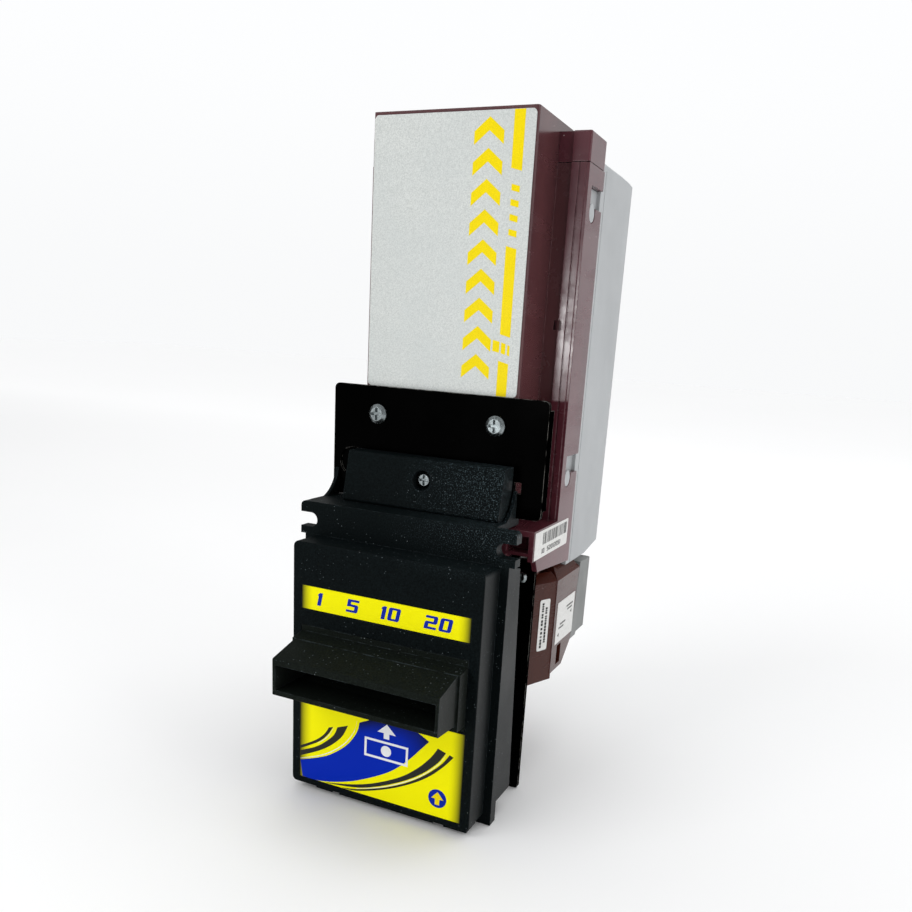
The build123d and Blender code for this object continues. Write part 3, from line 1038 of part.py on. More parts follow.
with BuildPart() as stacker_shaft:
    rod(SHAFT_R, (-24.5, 24.5), *stack_axis)
save(stacker_shaft, "stacker_shaft")

with BuildPart() as stacker_pinions:
    for side in (-1, 1):
        gear(PINION_TEETH, STACK_MODULE, stack_down, SHAFT_R,
             (side * RACK_X - 2.2, side * RACK_X + 2.2), *stack_axis)
save(stacker_pinions, "stacker_pinions")

with BuildPart() as stacker_gear:
    gear(STACK_GEAR_TEETH, STACK_GEAR_MODULE, stack_gear_turn, SHAFT_R, (18.6, 21.6), *stack_axis)
save(stacker_gear, "stacker_gear")

with BuildPart() as stacker_motor:
    rod(7.5, (-13, 13), *stack_motor_axis)
    fillet(stacker_motor.edges().filter_by(GeomType.CIRCLE), 0.6)
    rod(2.0, (12.5, 14.5), *stack_motor_axis)
    rod(0.8 + RUNNING, (4, 15), *stack_motor_axis, Mode.SUBTRACT)
save(stacker_motor, "stacker_motor")

with BuildPart() as stacker_motor_pinion:
    gear(STACK_MOTOR_TEETH, STACK_GEAR_MODULE, stack_motor_turn, 0, (18.6, 21.6), *stack_motor_axis)
    rod(0.8, (5, 19.0), *stack_motor_axis)
save(stacker_motor_pinion, "stacker_motor_pinion")

# ---------------------------------------------------------------- electronics

with BuildPart() as main_board:
    block((-44, 44), (BOARD_Y, BOARD_Y + BOARD_THICK), (4, 142))
    for x, z in board_posts:
        pin_y(1.6, x, (BOARD_Y - 1, BOARD_Y + 3), z, Mode.SUBTRACT)
save(main_board, "main_board")

with BuildPart() as board_screws:
    for x, z in board_posts:
        pin_y(2.6, x, (BOARD_Y + BOARD_THICK, BOARD_Y + BOARD_THICK + 1.6), z)
        pin_y(1.2, x, (BOARD_Y - 7, BOARD_Y + BOARD_THICK), z)
save(board_screws, "board_screws")

with BuildPart() as board_components:
    back = BOARD_Y + BOARD_THICK
    for x, z, wide, high, tall in ((0, 95, 20, 20, 2.2), (-24, 60, 14, 10, 2.0), (20, 60, 10, 14, 2.0),
                                   (-22, 118, 12, 8, 2.4), (22, 120, 16, 8, 3.0), (0, 30, 24, 7, 4.0),
                                   (30, 90, 6, 12, 3.2), (-32, 90, 6, 8, 3.0)):
        block((x - wide / 2, x + wide / 2), (back, back + tall), (z - high / 2, z + high / 2))
    for x in (24, 34):
        pin_y(4.0, x, (BOARD_Y - 12, BOARD_Y), 40)
save(board_components, "board_components")

with BuildPart() as harness_connector:
    block((-50.1, -39), (99, 111), (30, 62))
    block((-51, -43), (100.2, 109.8), (31.2, 60.8), Mode.SUBTRACT)
    block((-43, -39.5), (110, BOARD_Y), (32, 60))
    for row in range(2):
        for column in range(9):
            y = 102.8 + 4.4 * row
            z = 33.4 + 3.15 * column
            block((-45.6, -42), (y - 0.4, y + 0.4), (z - 0.4, z + 0.4))
save(harness_connector, "harness_connector")
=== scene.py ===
import math
import random

import bpy
from mathutils import Matrix, Vector


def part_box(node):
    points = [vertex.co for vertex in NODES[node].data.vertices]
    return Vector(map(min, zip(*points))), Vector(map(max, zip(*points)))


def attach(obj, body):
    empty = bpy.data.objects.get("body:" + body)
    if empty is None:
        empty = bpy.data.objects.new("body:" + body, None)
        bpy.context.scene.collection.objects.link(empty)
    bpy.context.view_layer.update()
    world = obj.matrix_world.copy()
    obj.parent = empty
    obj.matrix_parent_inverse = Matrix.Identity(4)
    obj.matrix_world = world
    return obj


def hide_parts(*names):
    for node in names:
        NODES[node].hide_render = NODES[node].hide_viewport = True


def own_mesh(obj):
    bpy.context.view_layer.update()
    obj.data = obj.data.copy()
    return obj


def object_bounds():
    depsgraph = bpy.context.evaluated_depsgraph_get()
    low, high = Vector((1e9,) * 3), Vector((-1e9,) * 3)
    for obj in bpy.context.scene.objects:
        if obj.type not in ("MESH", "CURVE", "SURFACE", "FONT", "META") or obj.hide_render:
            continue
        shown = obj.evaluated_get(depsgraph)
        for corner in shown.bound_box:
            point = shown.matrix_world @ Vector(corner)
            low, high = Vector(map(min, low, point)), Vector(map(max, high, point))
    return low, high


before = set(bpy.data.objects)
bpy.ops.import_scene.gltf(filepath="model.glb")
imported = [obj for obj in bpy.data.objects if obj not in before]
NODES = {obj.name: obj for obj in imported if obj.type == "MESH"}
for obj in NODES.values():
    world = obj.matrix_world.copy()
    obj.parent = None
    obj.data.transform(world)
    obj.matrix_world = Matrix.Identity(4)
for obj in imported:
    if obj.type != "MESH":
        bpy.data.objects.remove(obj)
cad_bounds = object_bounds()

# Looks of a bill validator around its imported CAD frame. Metres; +X right, +Y back, +Z up.
# Outlines of what is printed on the labels are in millimetres, in the same frame.

MM = 0.001


# ---------------------------------------------------------------- camera, floor and light

CAMERA_PLACE = (0.1701, -0.3136, 0.0814)
CAMERA_RIGHT = (0.9089, 0.4124, 0.0622)
CAMERA_DOWN = (0.1666, -0.2224, -0.9606)
CAMERA_FORWARD = (-0.3823, 0.8835, -0.2708)
CAMERA_LENS = 33.6
CAMERA_SENSOR = 36.0
CAMERA_SHIFT = (-0.0194, 0.1371)
CAMERA_NEAR = 0.01

ROOM_TINT = (0.985, 0.992, 1.0, 1.0)
ROOM_LEVEL = 0.5
BACKDROP_LEVEL = 1.0
BACKDROP_FADE = (-0.35, 0.45)
HORIZON_LEVEL = 0.96
HORIZON_FADE = (0.0, 0.3)

BODY_MIDDLE = (0.0, 0.05, 0.02)
RAIL_MIDDLE = (0.047, 0.052, 0.088)
SOFT_BOXES = (      # name, place, target, size, watts
    ("key", (-0.75, -0.95, 0.95), BODY_MIDDLE, (0.7, 0.7), 5.2),
    ("low_strip", (-0.288, -0.943, 0.107), RAIL_MIDDLE, (0.14, 0.045), 1.5),
    ("right_box", (1.15, -0.25, 0.45), BODY_MIDDLE, (0.25, 1.1), 2.2),
    ("top", (0.1, 0.25, 1.3), BODY_MIDDLE, (0.9, 0.9), 3.6),
)

FLOOR_REACH = 6.0
FLOOR_GAP = 0.0002
FLOOR_GLOW = 0.26
FLOOR_GLOW_FADE = (0.12, 1.4)


def put_in_scene(name, data):
    """New object in the scene, holding the data."""
    made = bpy.data.objects.new(name, data)
    bpy.context.scene.collection.objects.link(made)
    return made


def make_camera():
    data = bpy.data.cameras.new("camera")
    data.lens = CAMERA_LENS
    data.sensor_width = CAMERA_SENSOR
    data.shift_x, data.shift_y = CAMERA_SHIFT
    data.clip_start = CAMERA_NEAR
    camera = put_in_scene("camera", data)
    axes = (Vector(CAMERA_RIGHT), -Vector(CAMERA_DOWN), -Vector(CAMERA_FORWARD))
    turn = Matrix([axis.normalized() for axis in axes]).transposed().to_4x4()
    camera.matrix_world = Matrix.Translation(CAMERA_PLACE) @ turn
    bpy.context.scene.camera = camera


def make_world():
    """White backdrop behind the object, slightly dimmer at the horizon, and a dimmer room in front."""
    world = bpy.data.worlds.new("studio")
    bpy.context.scene.world = world
    world.use_nodes = True
    tree = world.node_tree
    split = tree.nodes.new("ShaderNodeSeparateXYZ")
    tree.links.new(tree.nodes.new("ShaderNodeTexCoord").outputs["Generated"], split.inputs[0])

    def ramp(letter, fade, start_level, end_level):
        made = tree.nodes.new("ShaderNodeMapRange")
        made.interpolation_type = "SMOOTHSTEP"
        for socket, number in zip(made.inputs[1:5], (*fade, start_level, end_level)):
            socket.default_value = number
        tree.links.new(split.outputs[letter], made.inputs[0])
        return made.outputs[0]

    backdrop = tree.nodes["Background"]
    backdrop.inputs["Color"].default_value = ROOM_TINT
    level = tree.nodes.new("ShaderNodeMath")
    level.operation = "MULTIPLY"
    tree.links.new(ramp("Y", BACKDROP_FADE, ROOM_LEVEL, BACKDROP_LEVEL), level.inputs[0])
    tree.links.new(ramp("Z", HORIZON_FADE, HORIZON_LEVEL, 1.0), level.inputs[1])
    tree.links.new(level.outputs[0], backdrop.inputs["Strength"])


def make_light(name, place, target, size, watts):
    """A rectangular soft box at place, facing target and unseen by the camera."""
    data = bpy.data.lights.new(name, "AREA")
    data.shape = "RECTANGLE"
    data.size, data.size_y = size
    data.energy = watts
    lamp = put_in_scene(name, data)
    lamp.visible_camera = False
    lamp.location = place
    lamp.rotation_euler = (Vector(target) - Vector(place)).to_track_quat("-Z", "Y").to_euler()


def make_floor(height):
    ends = (-FLOOR_REACH, FLOOR_REACH)
    corners = [(x, y, height) for y in ends for x in ends]
    mesh = bpy.data.meshes.new("floor")
    mesh.from_pydata(corners, [], [(0, 1, 3, 2)])
    floor = put_in_scene("floor", mesh)
    floor.data.materials.append(floor_finish())


# ---------------------------------------------------------------- material building blocks

NOISE_BULK = (0.3, 0.7)


class Finish:
    """A procedural material, built from object coordinates in metres."""

    def __init__(self, name, **sockets):
        self.material = bpy.data.materials.new(name)
        self.material.use_nodes = True
        self.tree = self.material.node_tree
        self.shader = self.tree.nodes["Principled BSDF"]
        for socket, value in sockets.items():
            self.shader.inputs[socket.replace("_", " ")].default_value = value
        self.place = self.node("ShaderNodeTexCoord").outputs["Object"]

    def node(self, kind, **settings):
        made = self.tree.nodes.new(kind)
        for key, value in settings.items():
            setattr(made, key, value)
        return made

    def feed(self, socket, value):
        """Links a node's output to the socket, or sets the socket to a plain value."""
        if isinstance(value, bpy.types.NodeSocket):
            self.tree.links.new(value, socket)
        else:
            socket.default_value = value

    def stretched(self, stretch):
        mapping = self.node("ShaderNodeMapping")
        self.feed(mapping.inputs["Vector"], self.place)
        mapping.inputs["Scale"].default_value = stretch
        return mapping.outputs["Vector"]

    def noise(self, scale, detail=3.0, roughness=0.55, stretch=None):
        texture = self.node("ShaderNodeTexNoise")
        self.feed(texture.inputs["Vector"], self.stretched(stretch) if stretch else self.place)
        texture.inputs["Scale"].default_value = scale
        texture.inputs["Detail"].default_value = detail
        texture.inputs["Roughness"].default_value = roughness
        return texture.outputs["Fac"]

    def cells(self, scale, stretch=None):
        """Distance to the nearest of scattered points, for specks and grain."""
        texture = self.node("ShaderNodeTexVoronoi")
        self.feed(texture.inputs["Vector"], self.stretched(stretch) if stretch else self.place)
        texture.inputs["Scale"].default_value = scale
        return texture.outputs["Distance"]

    def maths(self, operation, first, second=0.0):
        made = self.node("ShaderNodeMath", operation=operation)
        self.feed(made.inputs[0], first)
        self.feed(made.inputs[1], second)
        return made.outputs[0]

    def spread(self, value, low, high, to_low=0.0, to_high=1.0):
        """Value taken from the range low..high to the range to_low..to_high."""
        made = self.node("ShaderNodeMapRange")
        for socket, number in zip(made.inputs, (value, low, high, to_low, to_high)):
            self.feed(socket, number)
        return made.outputs[0]

    def vary(self, value, to_low=0.0, to_high=1.0):
        """A noise, nearly all of which lies in NOISE_BULK, taken to the range to_low..to_high."""
        return self.spread(value, *NOISE_BULK, to_low, to_high)

    def blend(self, share, first, second):
        """First colour where the share is 0, second where it is 1."""
        made = self.node("ShaderNodeMix", data_type="RGBA")
        self.feed(made.inputs["Factor"], share)
        sockets = [s for s in made.inputs if s.type == "RGBA"]
        for socket, colour in zip(sockets, (first, second)):
            self.feed(socket, colour)
        return [s for s in made.outputs if s.type == "RGBA"][0]

    def axis(self, letter):
        split = self.node("ShaderNodeSeparateXYZ")
        self.feed(split.inputs[0], self.place)
        return split.outputs[letter]

    def sideways(self):
        """1 where the surface faces straight left or right, 0 where it faces front, back, up or down."""
        split = self.node("ShaderNodeSeparateXYZ")
        self.feed(split.inputs[0], self.node("ShaderNodeTexCoord").outputs["Normal"])
        return self.spread(self.maths("ABSOLUTE", split.outputs["X"]), 0.75, 1.0)

    def edge(self, radius):
        """About 1 on a convex or concave edge and 0 on a flat, with a ragged border."""
        rounded = self.node("ShaderNodeBevel", samples=4)
        rounded.inputs["Radius"].default_value = radius
        plain = self.node("ShaderNodeNewGeometry").outputs["Normal"]
        dot = self.node("ShaderNodeVectorMath", operation="DOT_PRODUCT")
        self.feed(dot.inputs[0], rounded.outputs[0])
        self.feed(dot.inputs[1], plain)
        turned = self.spread(dot.outputs["Value"], 0.99, 0.80)
        return self.maths("MULTIPLY", turned, self.spread(self.noise(260.0, detail=4.0), 0.42, 0.6))

    def relief(self, height, depth, strength=1.0, soften=0.00025):
        """Bump of the given depth in metres over slightly softened edges."""
        rounded = self.node("ShaderNodeBevel", samples=4)
        rounded.inputs["Radius"].default_value = soften
        bump = self.node("ShaderNodeBump")
        bump.inputs["Strength"].default_value = strength
        bump.inputs["Distance"].default_value = depth
        self.feed(bump.inputs["Height"], height)
        self.feed(bump.inputs["Normal"], rounded.outputs[0])
        self.feed(self.shader.inputs["Normal"], bump.outputs[0])

    def colour(self, value):
        self.feed(self.shader.inputs["Base Color"], value)

    def rough(self, value):
        self.feed(self.shader.inputs["Roughness"], value)

    def sheen(self, value):
        self.feed(self.shader.inputs["Specular IOR Level"], value)


def rgb(red, green, blue):
    """Linear colour from 0-255 display values."""
    def linear(level):
        share = level / 255.0
        return share / 12.92 if share <= 0.04045 else ((share + 0.055) / 1.055) ** 2.4
    return (linear(red), linear(green), linear(blue), 1.0)


def scaled(tone, factor):
    """Colour made darker or lighter, up to full white."""
    return tuple(min(1.0, channel * factor) for channel in tone[:3]) + (1.0,)


# ---------------------------------------------------------------- materials

def floor_finish():
    finish = Finish("floor", Specular_IOR_Level=0.1)
    shade = finish.noise(3.0, detail=2.0)
    tone = finish.blend(shade, rgb(248, 248, 248), rgb(251, 251, 251))
    finish.colour(tone)
    finish.rough(finish.vary(shade, 0.85, 0.95))
    finish.feed(finish.shader.inputs["Emission Color"], tone)
    glow = finish.spread(finish.axis("Y"), *FLOOR_GLOW_FADE, 0.0, FLOOR_GLOW)
    finish.feed(finish.shader.inputs["Emission Strength"], glow)
    return finish.material


def dusted(finish, base, dust, scale, size, share):
    """Colour with sparse pale specks of dust, each about size of a cell across."""
    specks = finish.maths("LESS_THAN", finish.cells(scale), size)
    places = finish.spread(finish.noise(38.0, detail=3.0), share - 0.04, share + 0.04)
    return finish.blend(finish.maths("MULTIPLY", specks, places), base, dust)


GLINT_FADE_X = (-0.012, 0.034)
GLINT_FADE_Z = (-0.012, 0.004)


def painted_glints(finish):
    """Painted highlight: pale specks that stand in for the grain's sparkle under the light, gathered on the
    right above the flange.
    """
    east = finish.spread(finish.axis("X"), *GLINT_FADE_X)
    high = finish.spread(finish.axis("Z"), *GLINT_FADE_Z)
    painted_glint_specks = finish.spread(finish.noise(2100.0, detail=2.0, roughness=0.6), 0.56, 0.74)
    return finish.maths("MULTIPLY", painted_glint_specks, finish.maths("MULTIPLY", east, high))


def textured_black(name, tone, dust_share, edge_scuff_and_highlight):
    """Spark-eroded black moulding: fine grain, dust specks, edges paled partly by scuffs and partly as a
    painted highlight, and painted glint specks on the right.
    """
    finish = Finish(name)
    finish.sheen(finish.spread(finish.sideways(), 0.0, 1.0, 0.02, 0.3))
    grain = finish.noise(1500.0, detail=4.0, roughness=0.65)
    cloud = finish.noise(24.0, detail=4.0)
    base = finish.blend(finish.spread(grain, 0.36, 0.66), scaled(tone, 0.55), scaled(tone, 1.9))
    base = finish.blend(finish.spread(cloud, 0.35, 0.75, 0.0, 0.45), base, tone)
    # Edges paled towards bluish grey: partly scuffs, partly a painted highlight along the edges.
    scuffed_and_highlit_edges = finish.maths("MULTIPLY", finish.edge(0.0006), edge_scuff_and_highlight)
    base = finish.blend(scuffed_and_highlit_edges, base, rgb(74, 84, 88))
    base = dusted(finish, base, rgb(84, 92, 95), scale=520.0, size=0.11, share=dust_share)
    base = dusted(finish, base, rgb(120, 126, 128), scale=210.0, size=0.05, share=dust_share + 0.03)
    # Painted highlight: pale glint specks on the right above the flange, blended over the base colour.
    finish.colour(finish.blend(painted_glints(finish), base, rgb(88, 104, 110)))
    finish.rough(finish.vary(cloud, 0.42, 0.58))
    finish.relief(grain, depth=0.00009, strength=0.55, soften=0.0004)
    return finish.material


def gloss_black():
    """Powder-coated plate: near-black, glossy, with faint orange peel and a painted highlight along its
    edges.
    """
    finish = Finish("gloss_black_plate")
    finish.sheen(finish.spread(finish.sideways(), 0.0, 1.0, 0.008, 0.0))
    peel = finish.noise(420.0, detail=2.0)
    cloud = finish.noise(40.0, detail=3.0)
    base = finish.blend(cloud, rgb(0, 0, 0), rgb(2, 2, 2))
    # Painted highlight: a thin pale line along the plate's edges, standing in for light caught by them.
    base = finish.blend(finish.edge(0.0004), base, rgb(148, 146, 140))
    finish.colour(dusted(finish, base, rgb(96, 98, 98), scale=150.0, size=0.04, share=0.6))
    finish.rough(finish.vary(cloud, 0.14, 0.26))
    finish.relief(peel, depth=0.00002, strength=0.35, soften=0.0003)
    return finish.material


def maroon(name, low, high, sheen):
    """Glossy dark maroon moulding with flow marks, light scuffs and dust."""
    finish = Finish(name)
    finish.sheen(finish.spread(finish.sideways(), 0.4, 1.0, sheen, 0.42))
    flow = finish.noise(30.0, detail=4.0, roughness=0.6, stretch=(1.0, 1.0, 0.25))
    peel = finish.noise(700.0, detail=3.0)
    base = finish.blend(finish.vary(flow), low, high)
    base = finish.blend(finish.maths("MULTIPLY", finish.edge(0.0005), 0.45), base, rgb(150, 112, 116))
    finish.colour(dusted(finish, base, rgb(168, 150, 150), scale=210.0, size=0.05, share=0.58))
    scuffs = finish.noise(90.0, detail=5.0, roughness=0.7, stretch=(1.0, 0.2, 1.0))
    finish.rough(finish.spread(finish.spread(scuffs, 0.45, 0.75), 0.0, 1.0, 0.2, 0.38))
    finish.relief(peel, depth=0.00003, strength=0.35, soften=0.0004)
    return finish.material


def satin_grey(name, tone, rim):
    """Satin moulded cover with a fine texture, handling marks and paler edges."""
    finish = Finish(name, Specular_IOR_Level=0.45)
    grain = finish.noise(1300.0, detail=3.0, roughness=0.6)
    cloud = finish.noise(16.0, detail=4.0)
    darker = scaled(tone, 0.86)
    base = finish.blend(finish.vary(cloud), darker, tone)
    base = finish.blend(finish.spread(grain, 0.35, 0.65, 0.0, 0.18), base, darker)
    base = finish.blend(finish.maths("MULTIPLY", finish.edge(0.0007), 0.5), base, rim)
    finish.colour(base)
    finish.rough(finish.vary(finish.noise(60.0, detail=4.0), 0.4, 0.56))
    finish.relief(grain, depth=0.00005, strength=0.45, soften=0.0005)
    return finish.material


def silver_label():
    """Metallic polyester label: fine sparkle and a faint mottle."""
    finish = Finish("silver_label", Metallic=0.25, Specular_IOR_Level=0.4)
    sparkle = finish.noise(2300.0, detail=2.0, roughness=0.7)
    cloud = finish.noise(45.0, detail=4.0)
    base = finish.blend(finish.spread(sparkle, 0.32, 0.68), rgb(178, 182, 180), rgb(216, 219, 216))
    finish.colour(finish.blend(finish.spread(cloud, 0.35, 0.65, 0.0, 0.3), base, rgb(190, 196, 195)))
    finish.rough(finish.vary(sparkle, 0.42, 0.6))
    finish.relief(sparkle, depth=0.00002, strength=0.4, soften=0.0001)
    return finish.material


def clear_film(finish):
    """Smooth, slightly wavy film over a print."""
    finish.rough(finish.vary(finish.noise(70.0, detail=3.0), 0.3, 0.42))
    finish.relief(finish.noise(600.0, detail=2.0), depth=0.00001, strength=0.3, soften=0.0001)


def shaded_yellow(half, fade):
    """Yellow print that darkens towards both ends, under a smooth clear film."""
    finish = Finish(f"yellow_print_{round(half * 1e4)}", Specular_IOR_Level=0.05)
    across = finish.maths("ABSOLUTE", finish.axis("X"))
    ends = finish.spread(across, half - fade, half)
    ends = finish.maths("POWER", ends, 1.6)
    dots = finish.noise(3200.0, detail=1.0)
    base = finish.blend(finish.vary(dots), rgb(248, 240, 0), rgb(254, 248, 4))
    finish.colour(finish.blend(finish.maths("MULTIPLY", ends, 0.97), base, rgb(34, 34, 22)))
    clear_film(finish)
    return finish.material


def printed(name, tone, shift=0.08):
    """Flat ink with a fine screen of dots and a slightly uneven film."""
    finish = Finish(name, Specular_IOR_Level=0.08)
    dots = finish.noise(2600.0, detail=2.0)
    finish.colour(finish.blend(finish.spread(dots, 0.35, 0.65), scaled(tone, 1.0 - 2.0 * shift), tone))
    finish.rough(finish.vary(finish.noise(80.0, detail=3.0), 0.32, 0.46))
    finish.relief(dots, depth=0.000008, strength=0.3, soften=0.0001)
    return finish.material


def blue_field(centre, reach, tilt):
    """Blue print that darkens to near black away from the long axis of a tilted ellipse."""
    finish = Finish("blue_field_print", Specular_IOR_Level=0.05)
    east = finish.maths("SUBTRACT", finish.axis("X"), centre[0])
    above = finish.maths("SUBTRACT", finish.axis("Z"), centre[1])

    def squared_share(along_x, along_z, length):
        parts = [finish.maths("MULTIPLY", east, along_x), finish.maths("MULTIPLY", above, along_z)]
        share = finish.maths("DIVIDE", finish.maths("ADD", *parts), length)
        return finish.maths("MULTIPLY", share, share)

    lean = math.radians(tilt)
    far = finish.maths("ADD", squared_share(math.cos(lean), math.sin(lean), reach[0]),
                       squared_share(-math.sin(lean), math.cos(lean), reach[1]))
    finish.colour(finish.blend(finish.spread(far, 0.45, 1.0), rgb(0, 40, 176), rgb(16, 20, 28)))
    clear_film(finish)
    return finish.material


def paper_label():
    """White paper label with a faint fibre mottle."""
    finish = Finish("paper_label", Specular_IOR_Level=0.3)
    fibre = finish.noise(900.0, detail=5.0, roughness=0.7)
    finish.colour(finish.blend(finish.vary(fibre), rgb(214, 213, 210), rgb(234, 234, 232)))
    finish.rough(finish.vary(fibre, 0.55, 0.7))
    finish.relief(fibre, depth=0.00001, strength=0.3, soften=0.0001)
    return finish.material


def metal(name, tone, low, high, stretch=(1.0, 1.0, 1.0), scale=500.0):
    """Bare or plated metal with drawn or turned marks and dull patches."""
    finish = Finish(name, Metallic=1.0)
    marks = finish.noise(scale, detail=4.0, roughness=0.6, stretch=stretch)
    cloud = finish.noise(120.0, detail=4.0)
    dull = scaled(tone, 0.6)
    base = finish.blend(finish.vary(marks), dull, tone)
    finish.colour(finish.blend(finish.spread(cloud, 0.5, 0.8, 0.0, 0.5), base, dull))
    finish.rough(finish.vary(marks, low, high))
    finish.relief(marks, depth=0.00002, strength=0.4, soften=0.0002)
    return finish.material


def soft_plastic(name, tone, low=0.42, high=0.58, grain_scale=900.0):
    """Plain engineering plastic or rubber with a fine grain and uneven tone."""
    finish = Finish(name, Specular_IOR_Level=0.4)
    grain = finish.noise(grain_scale, detail=3.0)
    cloud = finish.noise(50.0, detail=4.0)
    finish.colour(finish.blend(finish.vary(cloud), scaled(tone, 0.7), tone))
    finish.rough(finish.vary(grain, low, high))
    finish.relief(grain, depth=0.00003, strength=0.4, soften=0.0003)
    return finish.material


def circuit_board():
    """Green solder mask over a pattern of copper pours, with small gold pads."""
    finish = Finish("circuit_board", Specular_IOR_Level=0.5, Coat_Weight=0.3)
    pours = finish.maths("GREATER_THAN", finish.cells(160.0, (1.0, 1.0, 2.0)), 0.45)
    mask = finish.blend(pours, rgb(16, 84, 46), rgb(10, 58, 32))
    pads = finish.maths("LESS_THAN", finish.cells(420.0), 0.1)
    finish.colour(finish.blend(pads, mask, rgb(176, 164, 112)))
    finish.rough(finish.vary(finish.noise(300.0), 0.25, 0.38))
    finish.relief(pours, depth=0.00003, strength=0.4, soften=0.0002)
    return finish.material


FIELD_MIDDLE = (-0.013, -0.104)
FIELD_REACH = (0.044, 0.0175)
FIELD_TILT = 27.0
STRIP_FADE = 0.006
PANEL_FADE = 0.0065


def half_width(node):
    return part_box(node)[1].x


def make_materials():
    return {
        "bezel": textured_black("bezel_black", rgb(10, 15, 16), 0.5, 0.3),
        "snout": textured_black("snout_black", rgb(19, 23, 20), 0.47, 0.5),
        "plate": gloss_black(),
        "maroon": maroon("maroon_plastic", rgb(74, 31, 40), rgb(98, 48, 57), 0.5),
        "maroon_box": maroon("maroon_magazine", rgb(70, 38, 42), rgb(92, 54, 56), 0.42),
        # The lower housing's darker, browner tone is partly the plastic's own and partly a painted warm
        # reflection.
        "maroon_low_painted_reflection": maroon("maroon_housing_painted_reflection", rgb(56, 23, 15), rgb(72, 31, 22), 0.04),
        "cover": satin_grey("light_grey_cover", rgb(180, 183, 185), rgb(212, 214, 215)),
        "door": satin_grey("dark_grey_cover", rgb(126, 128, 127), rgb(170, 172, 171)),
        "silver": silver_label(),
        "paper": paper_label(),
        "strip": shaded_yellow(half_width("denomination_label"), STRIP_FADE),
        "panel": shaded_yellow(half_width("instruction_label"), PANEL_FADE),
        "yellow": printed("yellow_ink", rgb(252, 226, 4)),
        "blue": printed("blue_ink", rgb(6, 40, 168)),
        "charcoal": printed("charcoal_ink", rgb(44, 46, 42)),
        "white": printed("white_ink", rgb(240, 242, 244), 0.02),
        "black_ink": printed("black_ink", rgb(30, 30, 32)),
        "field": blue_field(FIELD_MIDDLE, FIELD_REACH, FIELD_TILT),
        "zinc": metal("zinc_plate", rgb(150, 158, 160), 0.16, 0.34, scale=900.0),
        "steel": metal("ground_steel", rgb(176, 178, 182), 0.18, 0.34, (1.0, 6.0, 6.0)),
        "can": metal("motor_can", rgb(150, 152, 156), 0.26, 0.42, (0.3, 2.0, 2.0)),
        "spring": metal("spring_wire", rgb(160, 160, 160), 0.2, 0.36),
        "bronze": metal("sintered_bronze", rgb(158, 122, 70), 0.35, 0.55),
        "frame_plastic": soft_plastic("black_engineering_plastic", rgb(34, 34, 37)),
        "acetal": soft_plastic("natural_acetal", rgb(222, 220, 212), 0.32, 0.46),
        "rubber": soft_plastic("black_rubber", rgb(28, 28, 29), 0.62, 0.8, 1400.0),
        "epoxy": soft_plastic("black_epoxy", rgb(30, 30, 32), 0.45, 0.62, 1600.0),
        "lens": soft_plastic("infrared_window", rgb(72, 8, 12), 0.08, 0.16, 300.0),
        "board": circuit_board(),
    }


NODE_FINISH = {
    "bezel": ("bezel_housing", "clamp_block"),
    "snout": ("entry_snout",),
    "plate": ("upper_mount_plate", "lower_back_plate"),
    "maroon": ("magazine_cap", "main_frame"),
    "maroon_box": ("magazine_box",),
    "maroon_low_painted_reflection": ("lower_housing",),
    "cover": ("rear_cover",),
    "door": ("path_door",),
    "silver": ("magazine_label",),
    "paper": ("serial_label", "front_label", "side_label"),
    "strip": ("denomination_label",),
    "panel": ("instruction_label",),
    "zinc": ("clamp_screw", "clamp_nut", "upper_plate_screws", "bezel_screws", "housing_screws",
             "board_screws"),
    "steel": ("door_pins", "feed_shaft", "drive_shaft", "upper_shaft", "stacker_shaft", "idler_axle"),
    "can": ("transport_motor", "stacker_motor"),
    "spring": ("magazine_spring",),
    "bronze": ("shaft_bushes",),
    "frame_plastic": ("pressure_plate", "pusher_plate", "pusher_racks", "stacker_base", "lower_path_guide",
                      "upper_path_guide"),
    "acetal": ("feed_gear", "drive_gear", "idler_gear", "motor_pinion", "stacker_pinions", "stacker_gear",
               "stacker_motor_pinion", "drive_pulleys", "upper_pulleys"),
    "rubber": ("feed_rollers", "feed_pinch_rollers", "exit_pinch_rollers", "transport_belts"),
    "epoxy": ("board_components", "harness_connector"),
    "lens": ("upper_lens", "lower_lens"),
    "board": ("upper_sensor_board", "lower_sensor_board", "main_board"),
}


def finish_nodes(materials):
    """Gives each CAD node its one finish."""
    for key, names in NODE_FINISH.items():
        for name in names:
            mesh = NODES[name].data
            mesh.materials.clear()
            mesh.materials.append(materials[key])


# ---------------------------------------------------------------- printed shapes

FRONT = Matrix(((1, 0, 0, 0), (0, 0, -1, 0), (0, 1, 0, 0), (0, 0, 0, 1)))     # (u, v) is (x, z), facing -Y
RIGHT = Matrix(((0, 0, 1, 0), (1, 0, 0, 0), (0, 1, 0, 0), (0, 0, 0, 1)))      # (u, v) is (y, z), facing +X
INK = 0.00004           # half the thickness of a print
PROUD = 0.00003         # how far a print stands out of its label


def mesh_of(curve, material):
    """The curve's surface as a mesh with one material."""
    drawn = put_in_scene(curve.name, curve)
    mesh = bpy.data.meshes.new_from_object(drawn.evaluated_get(bpy.context.evaluated_depsgraph_get()))
    bpy.data.objects.remove(drawn)
    mesh.name = curve.name
    mesh.materials.clear()
    mesh.materials.append(material)
    return mesh


